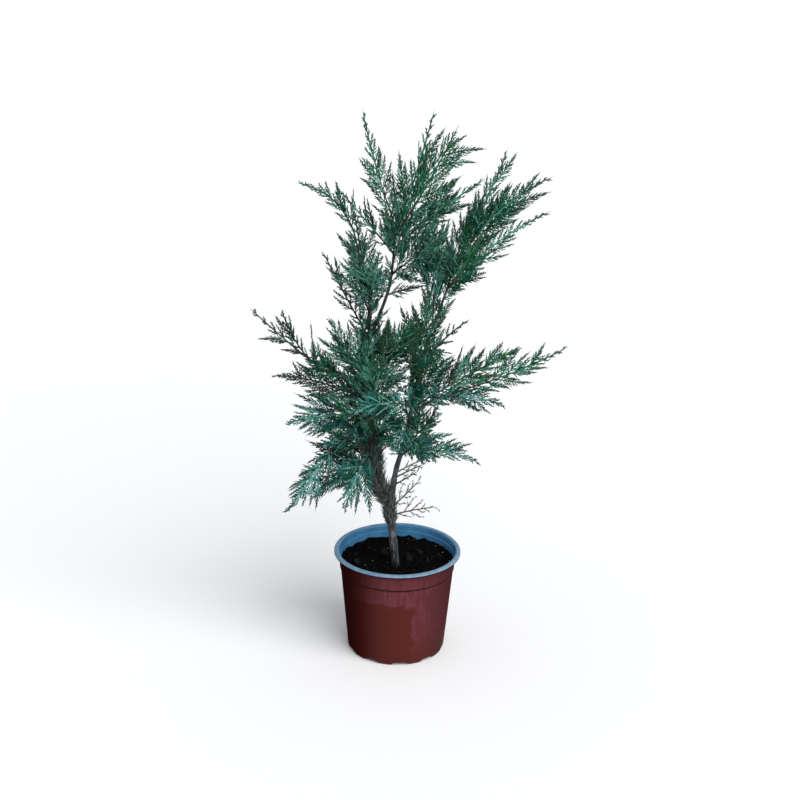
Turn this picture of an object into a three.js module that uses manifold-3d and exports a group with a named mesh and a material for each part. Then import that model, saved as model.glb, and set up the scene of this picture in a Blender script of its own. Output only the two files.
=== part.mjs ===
// A young leyland cypress in a two-tone nursery pot, in millimetres, +Z up.
// The pot stands on Z = 0 with its axis on the Z axis. The trunk forks low down into a left stem, which
// carries the leader, and a right stem. Boughs leave the stems, and each spray of foliage is a twig set with
// toothed blades, two-ranked like a feather. Sprays keep clear of the limbs and of each other.
import * as THREE from "three";
import { mergeVertices } from "three/addons/utils/BufferGeometryUtils.js";
import Module from "manifold-3d";

const wasm = await Module();
wasm.setup();

// Clearance between separate pieces that touch in life
const GAP = 0.3;
const SEED = 20;

// Pot: thin moulded plastic with a rolled lip, a collar that ends in a step, and arches between its feet
const POT_HEIGHT = 142.5;
const RIM_RADIUS = 85;
const LIP_WIDTH = 6.5;
const LIP_HEIGHT = 4;
const LIP_EDGE = 0.6;
const LIP_ROUNDING = 1.5;
const COLLAR_HEIGHT = 21;
const COLLAR_TAPER = 1.6;
const STEP = 1.2;
const WALL = 1.2;
const FOOT_RADIUS = 65;
const FOOT_ROUNDING = 2;
const FLOOR_RADIUS = 50;
const ARCHES = 10;
const ARCH_HEIGHT = 4.5;
const ARCH_SHARE = 0.5;
const ARCH_START = 0.4;
const POT_SIDES = 40;
const COLLAR_TOP = RIM_RADIUS - LIP_WIDTH;
const COLLAR_FOOT = COLLAR_TOP - COLLAR_TAPER;
const BODY_TOP = COLLAR_FOOT - STEP;
const STEP_LEVEL = POT_HEIGHT - LIP_HEIGHT - COLLAR_HEIGHT;

// Soil: fills the pot to a little under the lip, uneven, and level where the trunk stands
const SOIL_DROP = 16.5;
const SOIL_DIP = 3;
const SOIL_BUMP = 0.5;
const SOIL_WAVES = 6;
const SOIL_WAVE = 0.09;
const SOIL_RINGS = 4;
const LEVEL_RADIUS = 22;
const SLOPE_RADIUS = 55;
const SOIL_TOP = POT_HEIGHT - SOIL_DROP;

// Limbs: where each starts (a point, or a share of the way along another), the points that it passes through,
// the point where it ends, and its radius at foot and tip
const TRUNK_CUT = SOIL_TOP - SOIL_DIP + GAP;
const TRUNK_FOOT = [-1, -14, TRUNK_CUT - 6];
const FORK = [-9, -5, 210];
const FLARE = 2.6;
const FLARE_SHARE = 0.2;
const LIMB_SIDES = 7;
const LIMB_STEP = 24;
const FEWEST_STEPS = 3;
const LIMBS = [
  { name: "trunk", from: TRUNK_FOOT, through: [[-5, -10, 163]], to: FORK, radii: [4.9, 5.6], flare: FLARE },
  {
    name: "left_stem",
    from: FORK,
    through: [[-27, -3, 236], [-33, 0, 266], [-40, 3, 315], [-46, 6, 392], [-41, 6, 450], [-42, 6, 492]],
    to: [-62, 4, 582],
    radii: [5.2, 1.2],
  },
  {
    name: "right_stem",
    on: "trunk",
    at: 0.9,
    through: [[-4, -3, 255], [9, -4, 306], [19, -5, 368], [34, -3, 438], [48, 0, 478]],
    to: [69, 5, 545],
    radii: [4.0, 1.2],
  },
  {
    name: "leader",
    on: "left_stem",
    at: 0.6,
    through: [[-31, 11, 462], [-16, 12, 508]],
    to: [-9, 5, 588],
    radii: [2.7, 1.2],
  },
  {
    name: "bough_left",
    on: "left_stem",
    at: 0.42,
    through: [[-78, 0, 391]],
    to: [-118, -8, 413],
    radii: [2.2, 1.2],
  },
  {
    name: "bough_right",
    on: "right_stem",
    at: 0.4,
    through: [[46, -10, 362]],
    to: [82, -14, 377],
    radii: [2.2, 1.2],
  },
  {
    name: "bough_low_left",
    on: "left_stem",
    at: 0.26,
    through: [[-58, -14, 312]],
    to: [-86, -30, 300],
    radii: [2.0, 1.1],
  },
  {
    name: "bough_low_right",
    on: "right_stem",
    at: 0.22,
    through: [[14, -8, 290]],
    to: [30, -12, 291],
    radii: [1.7, 1.0],
  },
  {
    name: "bough_front",
    on: "right_stem",
    at: 0.46,
    through: [[16, -34, 376]],
    to: [8, -62, 374],
    radii: [1.9, 1.1],
  },
  {
    name: "bough_back_left",
    on: "left_stem",
    at: 0.36,
    through: [[-56, 36, 352]],
    to: [-72, 66, 358],
    radii: [1.9, 1.1],
  },
  {
    name: "bough_back_right",
    on: "right_stem",
    at: 0.44,
    through: [[34, 32, 398]],
    to: [48, 64, 400],
    radii: [1.9, 1.1],
  },
];

// Sprays: the limb that carries each, how far along it (0 foot, 1 tip), the point its tip reaches, its width
// as a share of its length, and the turn of its flat face about its axis in degrees, from lying flat at 0 to
// standing on edge at 90. Some arch up, or sag, by a share of their length beyond the rule of growth.
const SPRAYS = [
  // Leader
  { name: "spray_top_left", on: "leader", at: 1, tip: [-53, 0, 741], width: 0.25, turn: 90, arch: -0.03 },
  { name: "spray_top_right", on: "leader", at: 0.92, tip: [37, 10, 740], width: 0.22, turn: 80 },
  { name: "spray_top_front", on: "leader", at: 0.86, tip: [67, -20, 728], width: 0.48, turn: 70 },
  { name: "spray_crown_right", on: "leader", at: 0.82, tip: [106, 40, 642], width: 0.3, turn: 70, arch: 0.03 },
  { name: "spray_crown_back", on: "leader", at: 0.72, tip: [25, 130, 645], width: 0.4, turn: 10 },
  { name: "spray_crown_left", on: "leader", at: 0.78, tip: [-86, 80, 642], width: 0.3, turn: -42 },
  { name: "spray_crown_front", on: "leader", at: 0.6, tip: [53, -88, 607], width: 0.55, turn: 75 },
  // Head of the right stem
  { name: "spray_right_tall", on: "right_stem", at: 1, tip: [131, 10, 691], width: 0.28, turn: 85 },
  { name: "spray_right_high", on: "right_stem", at: 0.95, tip: [186, -50, 673], width: 0.32, turn: 80, arch: 0.14 },
  { name: "spray_right_wide", on: "right_stem", at: 0.9, tip: [194, 80, 593], width: 0.2, turn: 65, arch: 0.02 },
  { name: "spray_right_front", on: "right_stem", at: 0.88, tip: [99, -110, 615], width: 0.36, turn: -40 },
  { name: "spray_right_back", on: "right_stem", at: 0.82, tip: [98, 130, 600], width: 0.36, turn: 40 },
  { name: "spray_right_neck", on: "right_stem", at: 0.74, tip: [40, -30, 620], width: 0.5, turn: 50 },
  // Head of the left stem
  { name: "spray_left_tall", on: "left_stem", at: 1, tip: [-132, -40, 655], width: 0.32, turn: -85, arch: 0.12 },
  { name: "spray_left_side", on: "left_stem", at: 0.62, tip: [-105, 70, 537], width: 0.2, turn: -55 },
  { name: "spray_left_column", on: "left_stem", at: 0.7, tip: [-65, -40, 570], width: 0.42, turn: 46 },
  { name: "spray_left_front", on: "left_stem", at: 0.66, tip: [-28, -80, 585], width: 0.4, turn: -18 },
  { name: "spray_left_rear", on: "left_stem", at: 0.8, tip: [-74, 118, 584], width: 0.34, turn: -20 },
  // Left side
  { name: "spray_left_reach", on: "bough_left", at: 1, tip: [-195, -10, 483], width: 0.2, turn: -65 },
  { name: "spray_left_spire", on: "left_stem", at: 0.46, tip: [-93, -26, 479], width: 0.5, turn: 60 },
  { name: "spray_left_spike", on: "bough_left", at: 0.98, tip: [-157, 40, 466], width: 0.36, turn: -60, arch: -0.12 },
  { name: "spray_left_dark", on: "left_stem", at: 0.39, tip: [-172, 70, 359], width: 0.36, turn: -60 },
  { name: "spray_left_flat", on: "left_stem", at: 0.34, tip: [-149, -60, 342], width: 0.5, turn: -45 },
  { name: "spray_left_behind", on: "bough_back_left", at: 1, tip: [-128, 124, 344], width: 0.7, turn: -50 },
  { name: "spray_front_fan", on: "bough_front", at: 1, tip: [-67, -122, 383], width: 0.6, turn: -45 },
  // Low on the left stem
  { name: "spray_low_left", on: "bough_low_left", at: 1, tip: [-144, -62, 224], width: 0.34, turn: -70, arch: -0.2 },
  { name: "spray_low_side", on: "left_stem", at: 0.22, tip: [-111, 30, 275], width: 0.6, turn: -70 },
  { name: "spray_low_front", on: "left_stem", at: 0.2, tip: [-70, -82, 228], width: 0.6, turn: -40 },
  { name: "spray_low_middle", on: "left_stem", at: 0.24, tip: [0, -58, 390], width: 0.5, turn: -40 },
  { name: "spray_low_hang", on: "left_stem", at: 0.14, tip: [-107, -14, 244], width: 0.8, turn: -70 },
  { name: "spray_low_wing", on: "left_stem", at: 0.31, tip: [-96, -74, 393], width: 0.44, turn: -55 },
  { name: "spray_low_back", on: "left_stem", at: 0.24, tip: [-92, 100, 222], width: 0.6, turn: -40 },
  // Between the stems
  { name: "spray_mid_up", on: "right_stem", at: 0.52, tip: [32, -52, 524], width: 0.4, turn: -14 },
  { name: "spray_mid_cross", on: "left_stem", at: 0.43, tip: [16, -58, 488], width: 0.6, turn: -50, arch: 0.02 },
  { name: "spray_mid_left", on: "left_stem", at: 0.4, tip: [-64, -74, 464], width: 0.5, turn: 25 },
  { name: "spray_mid_front", on: "left_stem", at: 0.33, tip: [-21, -82, 451], width: 0.55, turn: -30 },
  { name: "spray_mid_low", on: "right_stem", at: 0.36, tip: [-4, -74, 310], width: 0.8, turn: -10 },
  // Right side
  { name: "spray_right_long", on: "bough_right", at: 1, tip: [217, -10, 438], width: 0.34, turn: 65, arch: -0.05 },
  { name: "spray_right_upper", on: "right_stem", at: 0.42, tip: [150, 60, 414], width: 0.34, turn: 60, arch: -0.01 },
  { name: "spray_right_under", on: "bough_right", at: 0.6, tip: [135, -60, 386], width: 0.4, turn: 70 },
  { name: "spray_right_twig", on: "right_stem", at: 0.6, tip: [92, 85, 441], width: 0.2, turn: 55 },
  { name: "spray_right_inner", on: "right_stem", at: 0.48, tip: [49, -58, 463], width: 0.5, turn: -50 },
  { name: "spray_right_rear", on: "bough_back_right", at: 1, tip: [95, 132, 348], width: 0.42, turn: 20 },
  { name: "spray_low_right", on: "bough_low_right", at: 1, tip: [106, -20, 277], width: 0.44, turn: 60, arch: -0.03 },
  { name: "spray_low_right_up", on: "right_stem", at: 0.24, tip: [57, 80, 309], width: 0.5, turn: 50 },
  // Dry twigs low on the trunk
  { name: "twig_dry_low", on: "trunk", at: 0.82, tip: [53, -22, 214], width: 0.36, turn: 70, dry: true },
  { name: "twig_dry_high", on: "trunk", at: 0.92, tip: [30, -14, 252], width: 0.34, turn: 70, dry: true },
];

// Rule of growth that every spray follows. Places along a spray run from 0 at its foot to 1 at its tip, and
// angles are in degrees.
const TWIG_RADIUS = 1.25;
const TWIG_SHARE_OF_LIMB = 0.9;
const TWIG_THINNING = 0.75;
const TWIG_SIDES = 3;
const TWIG_STEP = 34;
const BOW_LEVEL = 0.07;
const BOW_BY_SLOPE = 0.12;
const BLADE_SPACING = 9.5;
const FEWEST_BLADES = 5;
const FIRST_BLADE = 0.16;
const LAST_BLADE = 0.9;
const BLADE_ANGLE = 46;
const BLADE_ANGLE_AT_TIP = 30;
const BLADE_ANGLE_SPREAD = 9;
const BLADE_TWIST_SPREAD = 26;
const BLADE_LENGTH_SPREAD = 0.22;
const BLADE_TRIES = [1, 0.7, 0.45];
const FULLEST = 0.34;
const FULLNESS_AT_FOOT = 0.55;
const FULLNESS_AT_TIP = 0.1;
const FULLNESS_FALL = 0.75;
const WHIP_START = 0.88;
const BLADE_SINK = 0.7;
const BLADE_THICKNESS = 0.09;
const THINNEST = 0.7;
// Outline of a toothed blade after its root: places along it and across it, as shares of its length
const BLADE_OUTLINE = [[0.42, -0.06], [0.62, -0.13], [1, 0], [0.5, 0.06], [0.34, 0.14]];
const BLADE_RIDGE = 0.42;
const DRY_BLADE_WIDTH = 0.28;

const POT_PLASTIC = new THREE.MeshStandardMaterial({ color: 0x5c2a27, roughness: 0.5 });
const POTTING_SOIL = new THREE.MeshStandardMaterial({ color: 0x14100d, roughness: 1 });
const BARK = new THREE.MeshStandardMaterial({ color: 0x5a524a, roughness: 0.9 });
const FOLIAGE = new THREE.MeshStandardMaterial({ color: 0x1f5a45, roughness: 0.7 });
const DRY_TWIG = new THREE.MeshStandardMaterial({ color: 0x6d655c, roughness: 0.9 });

const UP = new THREE.Vector3(0, 0, 1);
const FULL_TURN = 2 * Math.PI;
const { degToRad, lerp, smoothstep } = THREE.MathUtils;
const vector = ([x, y, z]) => new THREE.Vector3(x, y, z);

// A repeatable source of numbers from -amount to amount
function seeded(seed) {
  let state = seed;
  return (amount) => {
    state = (Math.imul(state, 1664525) + 1013904223) >>> 0;
    return ((2 * state) / 2 ** 32 - 1) * amount;
  };
}

function solidOf(geometry) {
  geometry.deleteAttribute("normal");
  geometry.deleteAttribute("uv");
  const merged = mergeVertices(geometry);
  const vertProperties = new Float32Array(merged.attributes.position.array);
  const triVerts = new Uint32Array(merged.index.array);
  return new wasm.Manifold(new wasm.Mesh({ numProp: 3, vertProperties, triVerts }));
}

// The largest body of a solid, which leaves out loose scraps
function wholeOf(solid) {
  return solid.decompose().reduce((best, body) => (body.volume() > best.volume() ? body : best));
}

function meshOf(name, solid, material) {
  const { vertProperties, triVerts } = solid.getMesh();
  const geometry = new THREE.BufferGeometry();
  geometry.setAttribute("position", new THREE.BufferAttribute(vertProperties, 3));
  geometry.setIndex(new THREE.BufferAttribute(triVerts, 1));
  geometry.computeVertexNormals();
  const mesh = new THREE.Mesh(geometry, material);
  mesh.name = name;
  return mesh;
}

// Whether two solids come together, looking at their boxes first
function meet(a, b) {
  const boxA = a.boundingBox();
  const boxB = b.boundingBox();
  const apart = boxA.min.some((low, i) => low > boxB.max[i] || boxB.min[i] > boxA.max[i]);
  return !apart && !a.intersect(b).isEmpty();
}

// A round rod bent along a curve. radiusAt gives its radius from foot (0) to tip (1), the tip may come to a
// point, and both ends and the side can be let out by an extra amount.
function rodAlong(curve, radiusAt, sides, steps, { pointed = false, extra = 0 } = {}) {
  const rod = new THREE.CylinderGeometry(pointed ? 0 : 1, 1, 1, sides, steps);
  const frames = curve.computeFrenetFrames(steps);
  const position = rod.getAttribute("position");
  const vertex = new THREE.Vector3();
  for (let i = 0; i < position.count; i++) {
    vertex.fromBufferAttribute(position, i);
    const along = vertex.y + 0.5;
    const step = Math.round(along * steps);
    const spread = Math.hypot(vertex.x, vertex.z);
    const scale = spread > 0 ? (radiusAt(along) + extra) / spread : 0;
    const outward = step === 0 ? -1 : Math.floor(step / steps);
    const point = curve.getPointAt(along);
    point.addScaledVector(frames.normals[step], vertex.x * scale);
    point.addScaledVector(frames.binormals[step], -vertex.z * scale);
    point.addScaledVector(frames.tangents[step], outward * extra);
    position.setXYZ(i, point.x, point.y, point.z);
  }
  return solidOf(rod);
}

// The point at the middle of a bent rod, which runs straight between its steps
function middleOf({ curve, steps }, along) {
  const step = Math.min(steps - 1, Math.floor(along * steps));
  const start = curve.getPointAt(step / steps);
  return start.lerp(curve.getPointAt((step + 1) / steps), along * steps - step);
}

// Pot profile, as radius and height: the outside from the middle of the floor to the lip, then the inside
function potOutside() {
  const lipFoot = POT_HEIGHT - LIP_HEIGHT;
  return [
    [0, 0],
    [FLOOR_RADIUS, 0],
    [FOOT_RADIUS - FOOT_ROUNDING, 0],
    [FOOT_RADIUS - FOOT_ROUNDING / 3, FOOT_ROUNDING / 3],
    [FOOT_RADIUS, FOOT_ROUNDING],
    [BODY_TOP, STEP_LEVEL - STEP],
    [COLLAR_FOOT, STEP_LEVEL],
    [COLLAR_TOP, lipFoot - STEP],
    [RIM_RADIUS - LIP_EDGE, lipFoot],
    [RIM_RADIUS, lipFoot + LIP_HEIGHT / 2],
    [RIM_RADIUS - LIP_ROUNDING, POT_HEIGHT],
    [COLLAR_TOP, POT_HEIGHT],
  ];
}

function potInside() {
  return [
    [COLLAR_TOP - WALL, POT_HEIGHT - LIP_HEIGHT],
    [COLLAR_FOOT - WALL, STEP_LEVEL],
    [BODY_TOP - WALL, STEP_LEVEL - STEP],
    [FOOT_RADIUS - WALL, FOOT_ROUNDING],
    [FOOT_RADIUS - FOOT_ROUNDING, WALL],
    [FLOOR_RADIUS, WALL],
    [0, WALL],
  ];
}

// Height of the arch over an angle round the foot, or nothing where a foot stands
function archAt(angle) {
  const share = ((angle / FULL_TURN) * ARCHES + ARCHES) % 1;
  return share > ARCH_START && share < ARCH_START + ARCH_SHARE ? ARCH_HEIGHT : 0;
}

// A solid of revolution round the Z axis from a profile of radius and height
function turned(profile) {
  const points = profile.map(([radius, height]) => new THREE.Vector2(radius, height));
  return new THREE.LatheGeometry(points, POT_SIDES).rotateX(Math.PI / 2);
}

function makePot() {
  const outside = potOutside();
  const profile = [...outside, ...potInside()];
  const shell = turned(profile);
  const position = shell.getAttribute("position");
  for (let i = 0; i < position.count; i++) {
    const row = i % profile.length;
    if (profile[row][0] <= FLOOR_RADIUS) continue;
    const arch = archAt(Math.atan2(position.getY(i), position.getX(i)));
    const ceiling = row < outside.length || arch === 0 ? arch : arch + WALL;
    position.setZ(i, Math.max(position.getZ(i), ceiling));
  }
  return solidOf(shell);
}

function makeSoil() {
  const bottom = ARCH_HEIGHT + WALL + GAP;
  const edge = BODY_TOP - WALL - GAP;
  const profile = [
    [0, bottom],
    [FOOT_RADIUS - FOOT_ROUNDING - GAP, bottom],
    [FOOT_RADIUS - WALL - GAP, bottom + FOOT_ROUNDING],
    [edge, STEP_LEVEL - STEP],
  ];
  for (let ring = SOIL_RINGS; ring >= 0; ring--) profile.push([(edge * ring) / SOIL_RINGS, SOIL_TOP]);
  const soil = turned(profile);
  const random = seeded(SEED);
  const makeWave = () => [random(SOIL_WAVE), random(SOIL_WAVE), random(Math.PI)];
  const waves = Array.from({ length: SOIL_WAVES }, makeWave);
  const position = soil.getAttribute("position");
  for (let i = 0; i < position.count; i++) {
    const [x, y, z] = [position.getX(i), position.getY(i), position.getZ(i)];
    if (z < SOIL_TOP) continue;
    const rise = smoothstep(Math.hypot(x - TRUNK_FOOT[0], y - TRUNK_FOOT[1]), LEVEL_RADIUS, SLOPE_RADIUS);
    const bump = waves.reduce((sum, [u, v, phase]) => sum + Math.sin(u * x + v * y + phase), 0);
    position.setZ(i, SOIL_TOP - SOIL_DIP + rise * (SOIL_DIP + SOIL_BUMP * bump));
  }
  return solidOf(soil);
}

// A slab that reaches down from the level where the trunk is cut flat
function groundSlab() {
  const slab = new THREE.BoxGeometry(POT_HEIGHT, POT_HEIGHT, POT_HEIGHT);
  return solidOf(slab.translate(0, 0, TRUNK_CUT - POT_HEIGHT / 2));
}

// Limbs, each with the curve it follows, its solid, and the same solid let out by the clearance
function growLimbs() {
  const limbs = new Map();
  const ground = groundSlab();
  for (const { name, from, on, at, through, to, radii, flare = 0 } of LIMBS) {
    const foot = from ? vector(from) : limbs.get(on).curve.getPointAt(at);
    const curve = new THREE.CatmullRomCurve3([foot, ...through.map(vector), vector(to)], false, "centripetal");
    const steps = Math.max(FEWEST_STEPS, Math.round(curve.getLength() / LIMB_STEP));
    const radiusAt = (t) => lerp(...radii, t) + flare * Math.max(0, 1 - t / FLARE_SHARE) ** 2;
    let solid = rodAlong(curve, radiusAt, LIMB_SIDES, steps).subtract(ground);
    for (const lower of limbs.values()) solid = solid.subtract(lower.letOut);
    const letOut = rodAlong(curve, radiusAt, LIMB_SIDES, steps, { extra: GAP });
    limbs.set(name, { curve, radiusAt, solid: wholeOf(solid), letOut });
  }
  return limbs;
}

// The line of a spray from its limb to its tip: bowed up where it hangs, and down where it climbs
function sprayCurve(row, limb) {
  const foot = limb.curve.getPointAt(row.at);
  const tip = vector(row.tip);
  const chord = tip.clone().sub(foot);
  const length = chord.length();
  const slope = chord.z / length;
  const squareToChord = UP.clone().addScaledVector(chord, -slope / length);
  const bow = BOW_LEVEL - BOW_BY_SLOPE * slope + (row.arch ?? 0);
  const middle = foot.clone().lerp(tip, 0.5);
  middle.addScaledVector(squareToChord, 2 * length * bow);
  return { curve: new THREE.QuadraticBezierCurve3(foot, middle, tip), length };
}

// The twig that runs through a spray
function growTwig(row, limb) {
  const { curve, length } = sprayCurve(row, limb);
  const thick = Math.min(TWIG_RADIUS, TWIG_SHARE_OF_LIMB * limb.radiusAt(row.at));
  const radiusAt = (t) => thick * (1 - TWIG_THINNING * t);
  const steps = Math.max(FEWEST_STEPS, Math.round(length / TWIG_STEP));
  const twig = rodAlong(curve, radiusAt, TWIG_SIDES, steps, { pointed: true });
  return { row, curve, steps, length, radiusAt, twig, blades: [] };
}

// The direction across a spray's flat face where its axis runs along a tangent
function faceSide(tangent, turn) {
  return new THREE.Vector3().crossVectors(UP, tangent).normalize().applyAxisAngle(tangent, degToRad(turn));
}

// Blade length along a spray, as a share of the longest: it rises to the fullest place, then falls to the start of
// the whip, where only short ones are left
function fullness(t) {
  if (t < FULLEST) return lerp(FULLNESS_AT_FOOT, 1, t / FULLEST);
  const past = Math.min(1, (t - FULLEST) / (WHIP_START - FULLEST));
  return lerp(1, FULLNESS_AT_TIP, past ** FULLNESS_FALL);
}

// A toothed blade: a flat outline raised to a ridge on both faces, and let out by an extra amount
function bladeOf(root, along, across, length, widthScale, extra = 0) {
  const normal = along.clone().cross(across);
  const halfThickness = Math.max(THINNEST, BLADE_THICKNESS * length) / 2 + extra;
  const reach = length + 2 * extra;
  const place = (u, v, w) => {
    const point = root.clone().addScaledVector(along, u * reach);
    return point.addScaledVector(across, v * widthScale * reach).addScaledVector(normal, w);
  };
  const edge = [[0, 0], ...BLADE_OUTLINE].map(([u, v]) => place(u, v, 0));
  const ridges = [place(BLADE_RIDGE, 0, halfThickness), place(BLADE_RIDGE, 0, -halfThickness)];
  const faces = [];
  edge.forEach((_, i) => {
    const next = (i + 1) % edge.length;
    faces.push(i, next, edge.length, next, i, edge.length + 1);
  });
  return solidOf(new THREE.BufferGeometry().setFromPoints([...edge, ...ridges]).setIndex(faces));
}

// Blades of one spray, left and right in turn. One that would meet a limb or another spray is shortened, or is
// skipped where that is not enough.
function growBlades(spray, seed, others) {
  const random = seeded(seed);
  const { row, curve, length, radiusAt } = spray;
  const count = Math.max(FEWEST_BLADES, Math.round(((LAST_BLADE - FIRST_BLADE) * length) / BLADE_SPACING));
  const widthScale = row.dry ? DRY_BLADE_WIDTH : 1;
  for (let k = 0; k < count; k++) {
    const t = lerp(FIRST_BLADE, LAST_BLADE, k / (count - 1));
    const tangent = curve.getTangentAt(t);
    const side = faceSide(tangent, row.turn + random(BLADE_TWIST_SPREAD)).multiplyScalar(k % 2 ? 1 : -1);
    const angle = degToRad(lerp(BLADE_ANGLE, BLADE_ANGLE_AT_TIP, t) + random(BLADE_ANGLE_SPREAD));
    const along = tangent.clone().multiplyScalar(Math.cos(angle)).addScaledVector(side, Math.sin(angle));
    const across = side.clone().multiplyScalar(Math.cos(angle)).addScaledVector(tangent, -Math.sin(angle));
    const reach = length * row.width * fullness(t) * (1 + random(BLADE_LENGTH_SPREAD));
    const root = middleOf(spray, t).addScaledVector(along, -BLADE_SINK * radiusAt(t));
    const isClear = (share) => {
      const roomy = bladeOf(root, along, across, share * reach, widthScale, GAP);
      return !others.some((other) => meet(roomy, other));
    };
    const share = BLADE_TRIES.find(isClear);
    if (share) spray.blades.push(bladeOf(root, along, across, share * reach, widthScale));
  }
}

function growSprays(limbs) {
  const sprays = SPRAYS.map((row) => growTwig(row, limbs.get(row.on)));
  const limbSolids = [...limbs.values()].map((limb) => limb.letOut);
  sprays.forEach((spray, i) => {
    const neighbours = sprays.filter((other) => other !== spray);
    const others = neighbours.flatMap((other) => [other.twig, ...other.blades]);
    growBlades(spray, SEED + i, [...limbSolids, ...others]);
  });
  return sprays;
}

// One solid of a spray, cut clear of every limb
function joinSpray(spray, limbs) {
  let joined = wasm.Manifold.union([spray.twig, ...spray.blades]);
  for (const limb of limbs.values()) joined = joined.subtract(limb.letOut);
  return wholeOf(joined);
}

const plant = new THREE.Group();
plant.add(meshOf("pot", makePot(), POT_PLASTIC));
plant.add(meshOf("soil", makeSoil(), POTTING_SOIL));
const limbs = growLimbs();
for (const [name, limb] of limbs) plant.add(meshOf(name, limb.solid, BARK));
for (const spray of growSprays(limbs)) {
  plant.add(meshOf(spray.row.name, joinSpray(spray, limbs), spray.row.dry ? DRY_TWIG : FOLIAGE));
}

export default plant;
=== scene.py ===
"""A young leyland cypress in a two-tone nursery pot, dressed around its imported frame.

Sizes are in millimetres and become metres where a mesh is made. Z is up, the pot stands on Z = 0 with its
axis on the Z axis, and the viewer stands on the side of -Y.
"""

import logging
import math
from dataclasses import dataclass, replace
from enum import Enum

import bmesh
import bpy
import numpy as np
from mathutils import Matrix, Vector, noise


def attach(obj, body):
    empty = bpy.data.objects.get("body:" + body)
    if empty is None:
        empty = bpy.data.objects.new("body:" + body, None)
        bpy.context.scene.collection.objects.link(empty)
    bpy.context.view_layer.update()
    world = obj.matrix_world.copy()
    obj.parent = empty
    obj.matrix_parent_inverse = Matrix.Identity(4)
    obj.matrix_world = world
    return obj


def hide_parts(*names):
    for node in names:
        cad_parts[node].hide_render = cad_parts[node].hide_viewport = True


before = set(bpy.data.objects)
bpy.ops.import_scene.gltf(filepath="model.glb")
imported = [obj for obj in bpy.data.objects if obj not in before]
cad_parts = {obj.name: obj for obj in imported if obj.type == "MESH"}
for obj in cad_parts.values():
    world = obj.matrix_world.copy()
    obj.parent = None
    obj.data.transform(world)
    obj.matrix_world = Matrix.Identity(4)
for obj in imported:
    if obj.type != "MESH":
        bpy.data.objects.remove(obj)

LOG = logging.getLogger("leyland_cypress")
MM = 0.001
SEED = 20
BODY = "root"
UP = np.array((0.0, 0.0, 1.0))
MOST_TRIANGLES = 200_000
# Distance below which two vertices are merged, in millimetres
MERGE = 0.01
# Least length to divide by
TINY = 1e-9
NOISE_ROUGHNESS = 0.6
# Steps between two knots of a limb's line
LINE_STEPS = 60
# Share of a cord's bow that is taken off its lean, so that its tip stays near its aim
BOW_BACK = 0.4

Array = np.ndarray
Point = tuple[float, float, float]
# Where a value starts and ends, and what it becomes there
Ramp = tuple[float, float, float, float]


# ---- Shared helpers ----


def linear(code: str) -> tuple[float, float, float, float]:
    """Turns an sRGB hex colour to linear light.

    Args:
        code: The colour as "#rrggbb".

    Returns:
        Red, green, blue and an alpha of 1.
    """
    shares = [int(code[i : i + 2], 16) / 255 for i in (1, 3, 5)]
    return *(c / 12.92 if c <= 0.04045 else ((c + 0.055) / 1.055) ** 2.4 for c in shares), 1.0


def add_node(
    tree: bpy.types.NodeTree,
    kind: str,
    settings: dict[str, object] | None = None,
    inputs: dict[str | int, object] | None = None,
    ramp: tuple[tuple[float, str], ...] = (),
) -> bpy.types.Node:
    """Adds one node with its settings and what goes into it.

    Args:
        tree: The material's node tree.
        kind: The node's type.
        settings: Properties of the node, by name.
        inputs: Sockets to link from, or constants, by the name or number of the input.
        ramp: Places and hex colours of a colour ramp.

    Returns:
        The new node.
    """
    node = tree.nodes.new(kind)
    for name, value in (settings or {}).items():
        setattr(node, name, value)
    for place, code in ramp:
        stops = node.color_ramp.elements
        stop = stops[0] if place == ramp[0][0] else stops[-1] if place == ramp[-1][0] else stops.new(place)
        stop.position, stop.color = place, linear(code)
    for name, value in (inputs or {}).items():
        if isinstance(value, bpy.types.NodeSocket):
            tree.links.new(value, node.inputs[name])
        else:
            node.inputs[name].default_value = value
    return node


def unit(vectors: Array) -> Array:
    """Scales each vector to a length of 1."""
    return vectors / np.maximum(np.linalg.norm(vectors, axis=-1, keepdims=True), TINY)


def turned_about(vectors: Array, axes: Array, angles: Array) -> Array:
    """Turns vectors that are square to their axes.

    Args:
        vectors: The vectors, one a row.
        axes: Unit axes, one a row.
        angles: Angles in radians, one a row.

    Returns:
        The turned vectors.
    """
    angles = np.asarray(angles)[..., None]
    return vectors * np.cos(angles) + np.cross(axes, vectors) * np.sin(angles)


def object_of(name: str, data: bpy.types.ID) -> bpy.types.Object:
    """Makes an object of a mesh, a light or a camera and links it to the scene.

    Args:
        name: The object's name.
        data: What it holds.

    Returns:
        The object.
    """
    made = bpy.data.objects.new(name, data)
    bpy.context.scene.collection.objects.link(made)
    return made


def piece_of(name: str, bm: bmesh.types.BMesh) -> bpy.types.Object:
    """Makes an object from a bmesh in millimetres.

    Args:
        name: The piece's name.
        bm: The mesh, which is freed.

    Returns:
        The object, with its mesh in metres and smooth shading.
    """
    bmesh.ops.scale(bm, vec=(MM, MM, MM), verts=bm.verts)
    mesh = bpy.data.meshes.new(name)
    bm.to_mesh(mesh)
    bm.free()
    mesh.polygons.foreach_set("use_smooth", np.ones(len(mesh.polygons), bool))
    return object_of(name, mesh)


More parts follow.
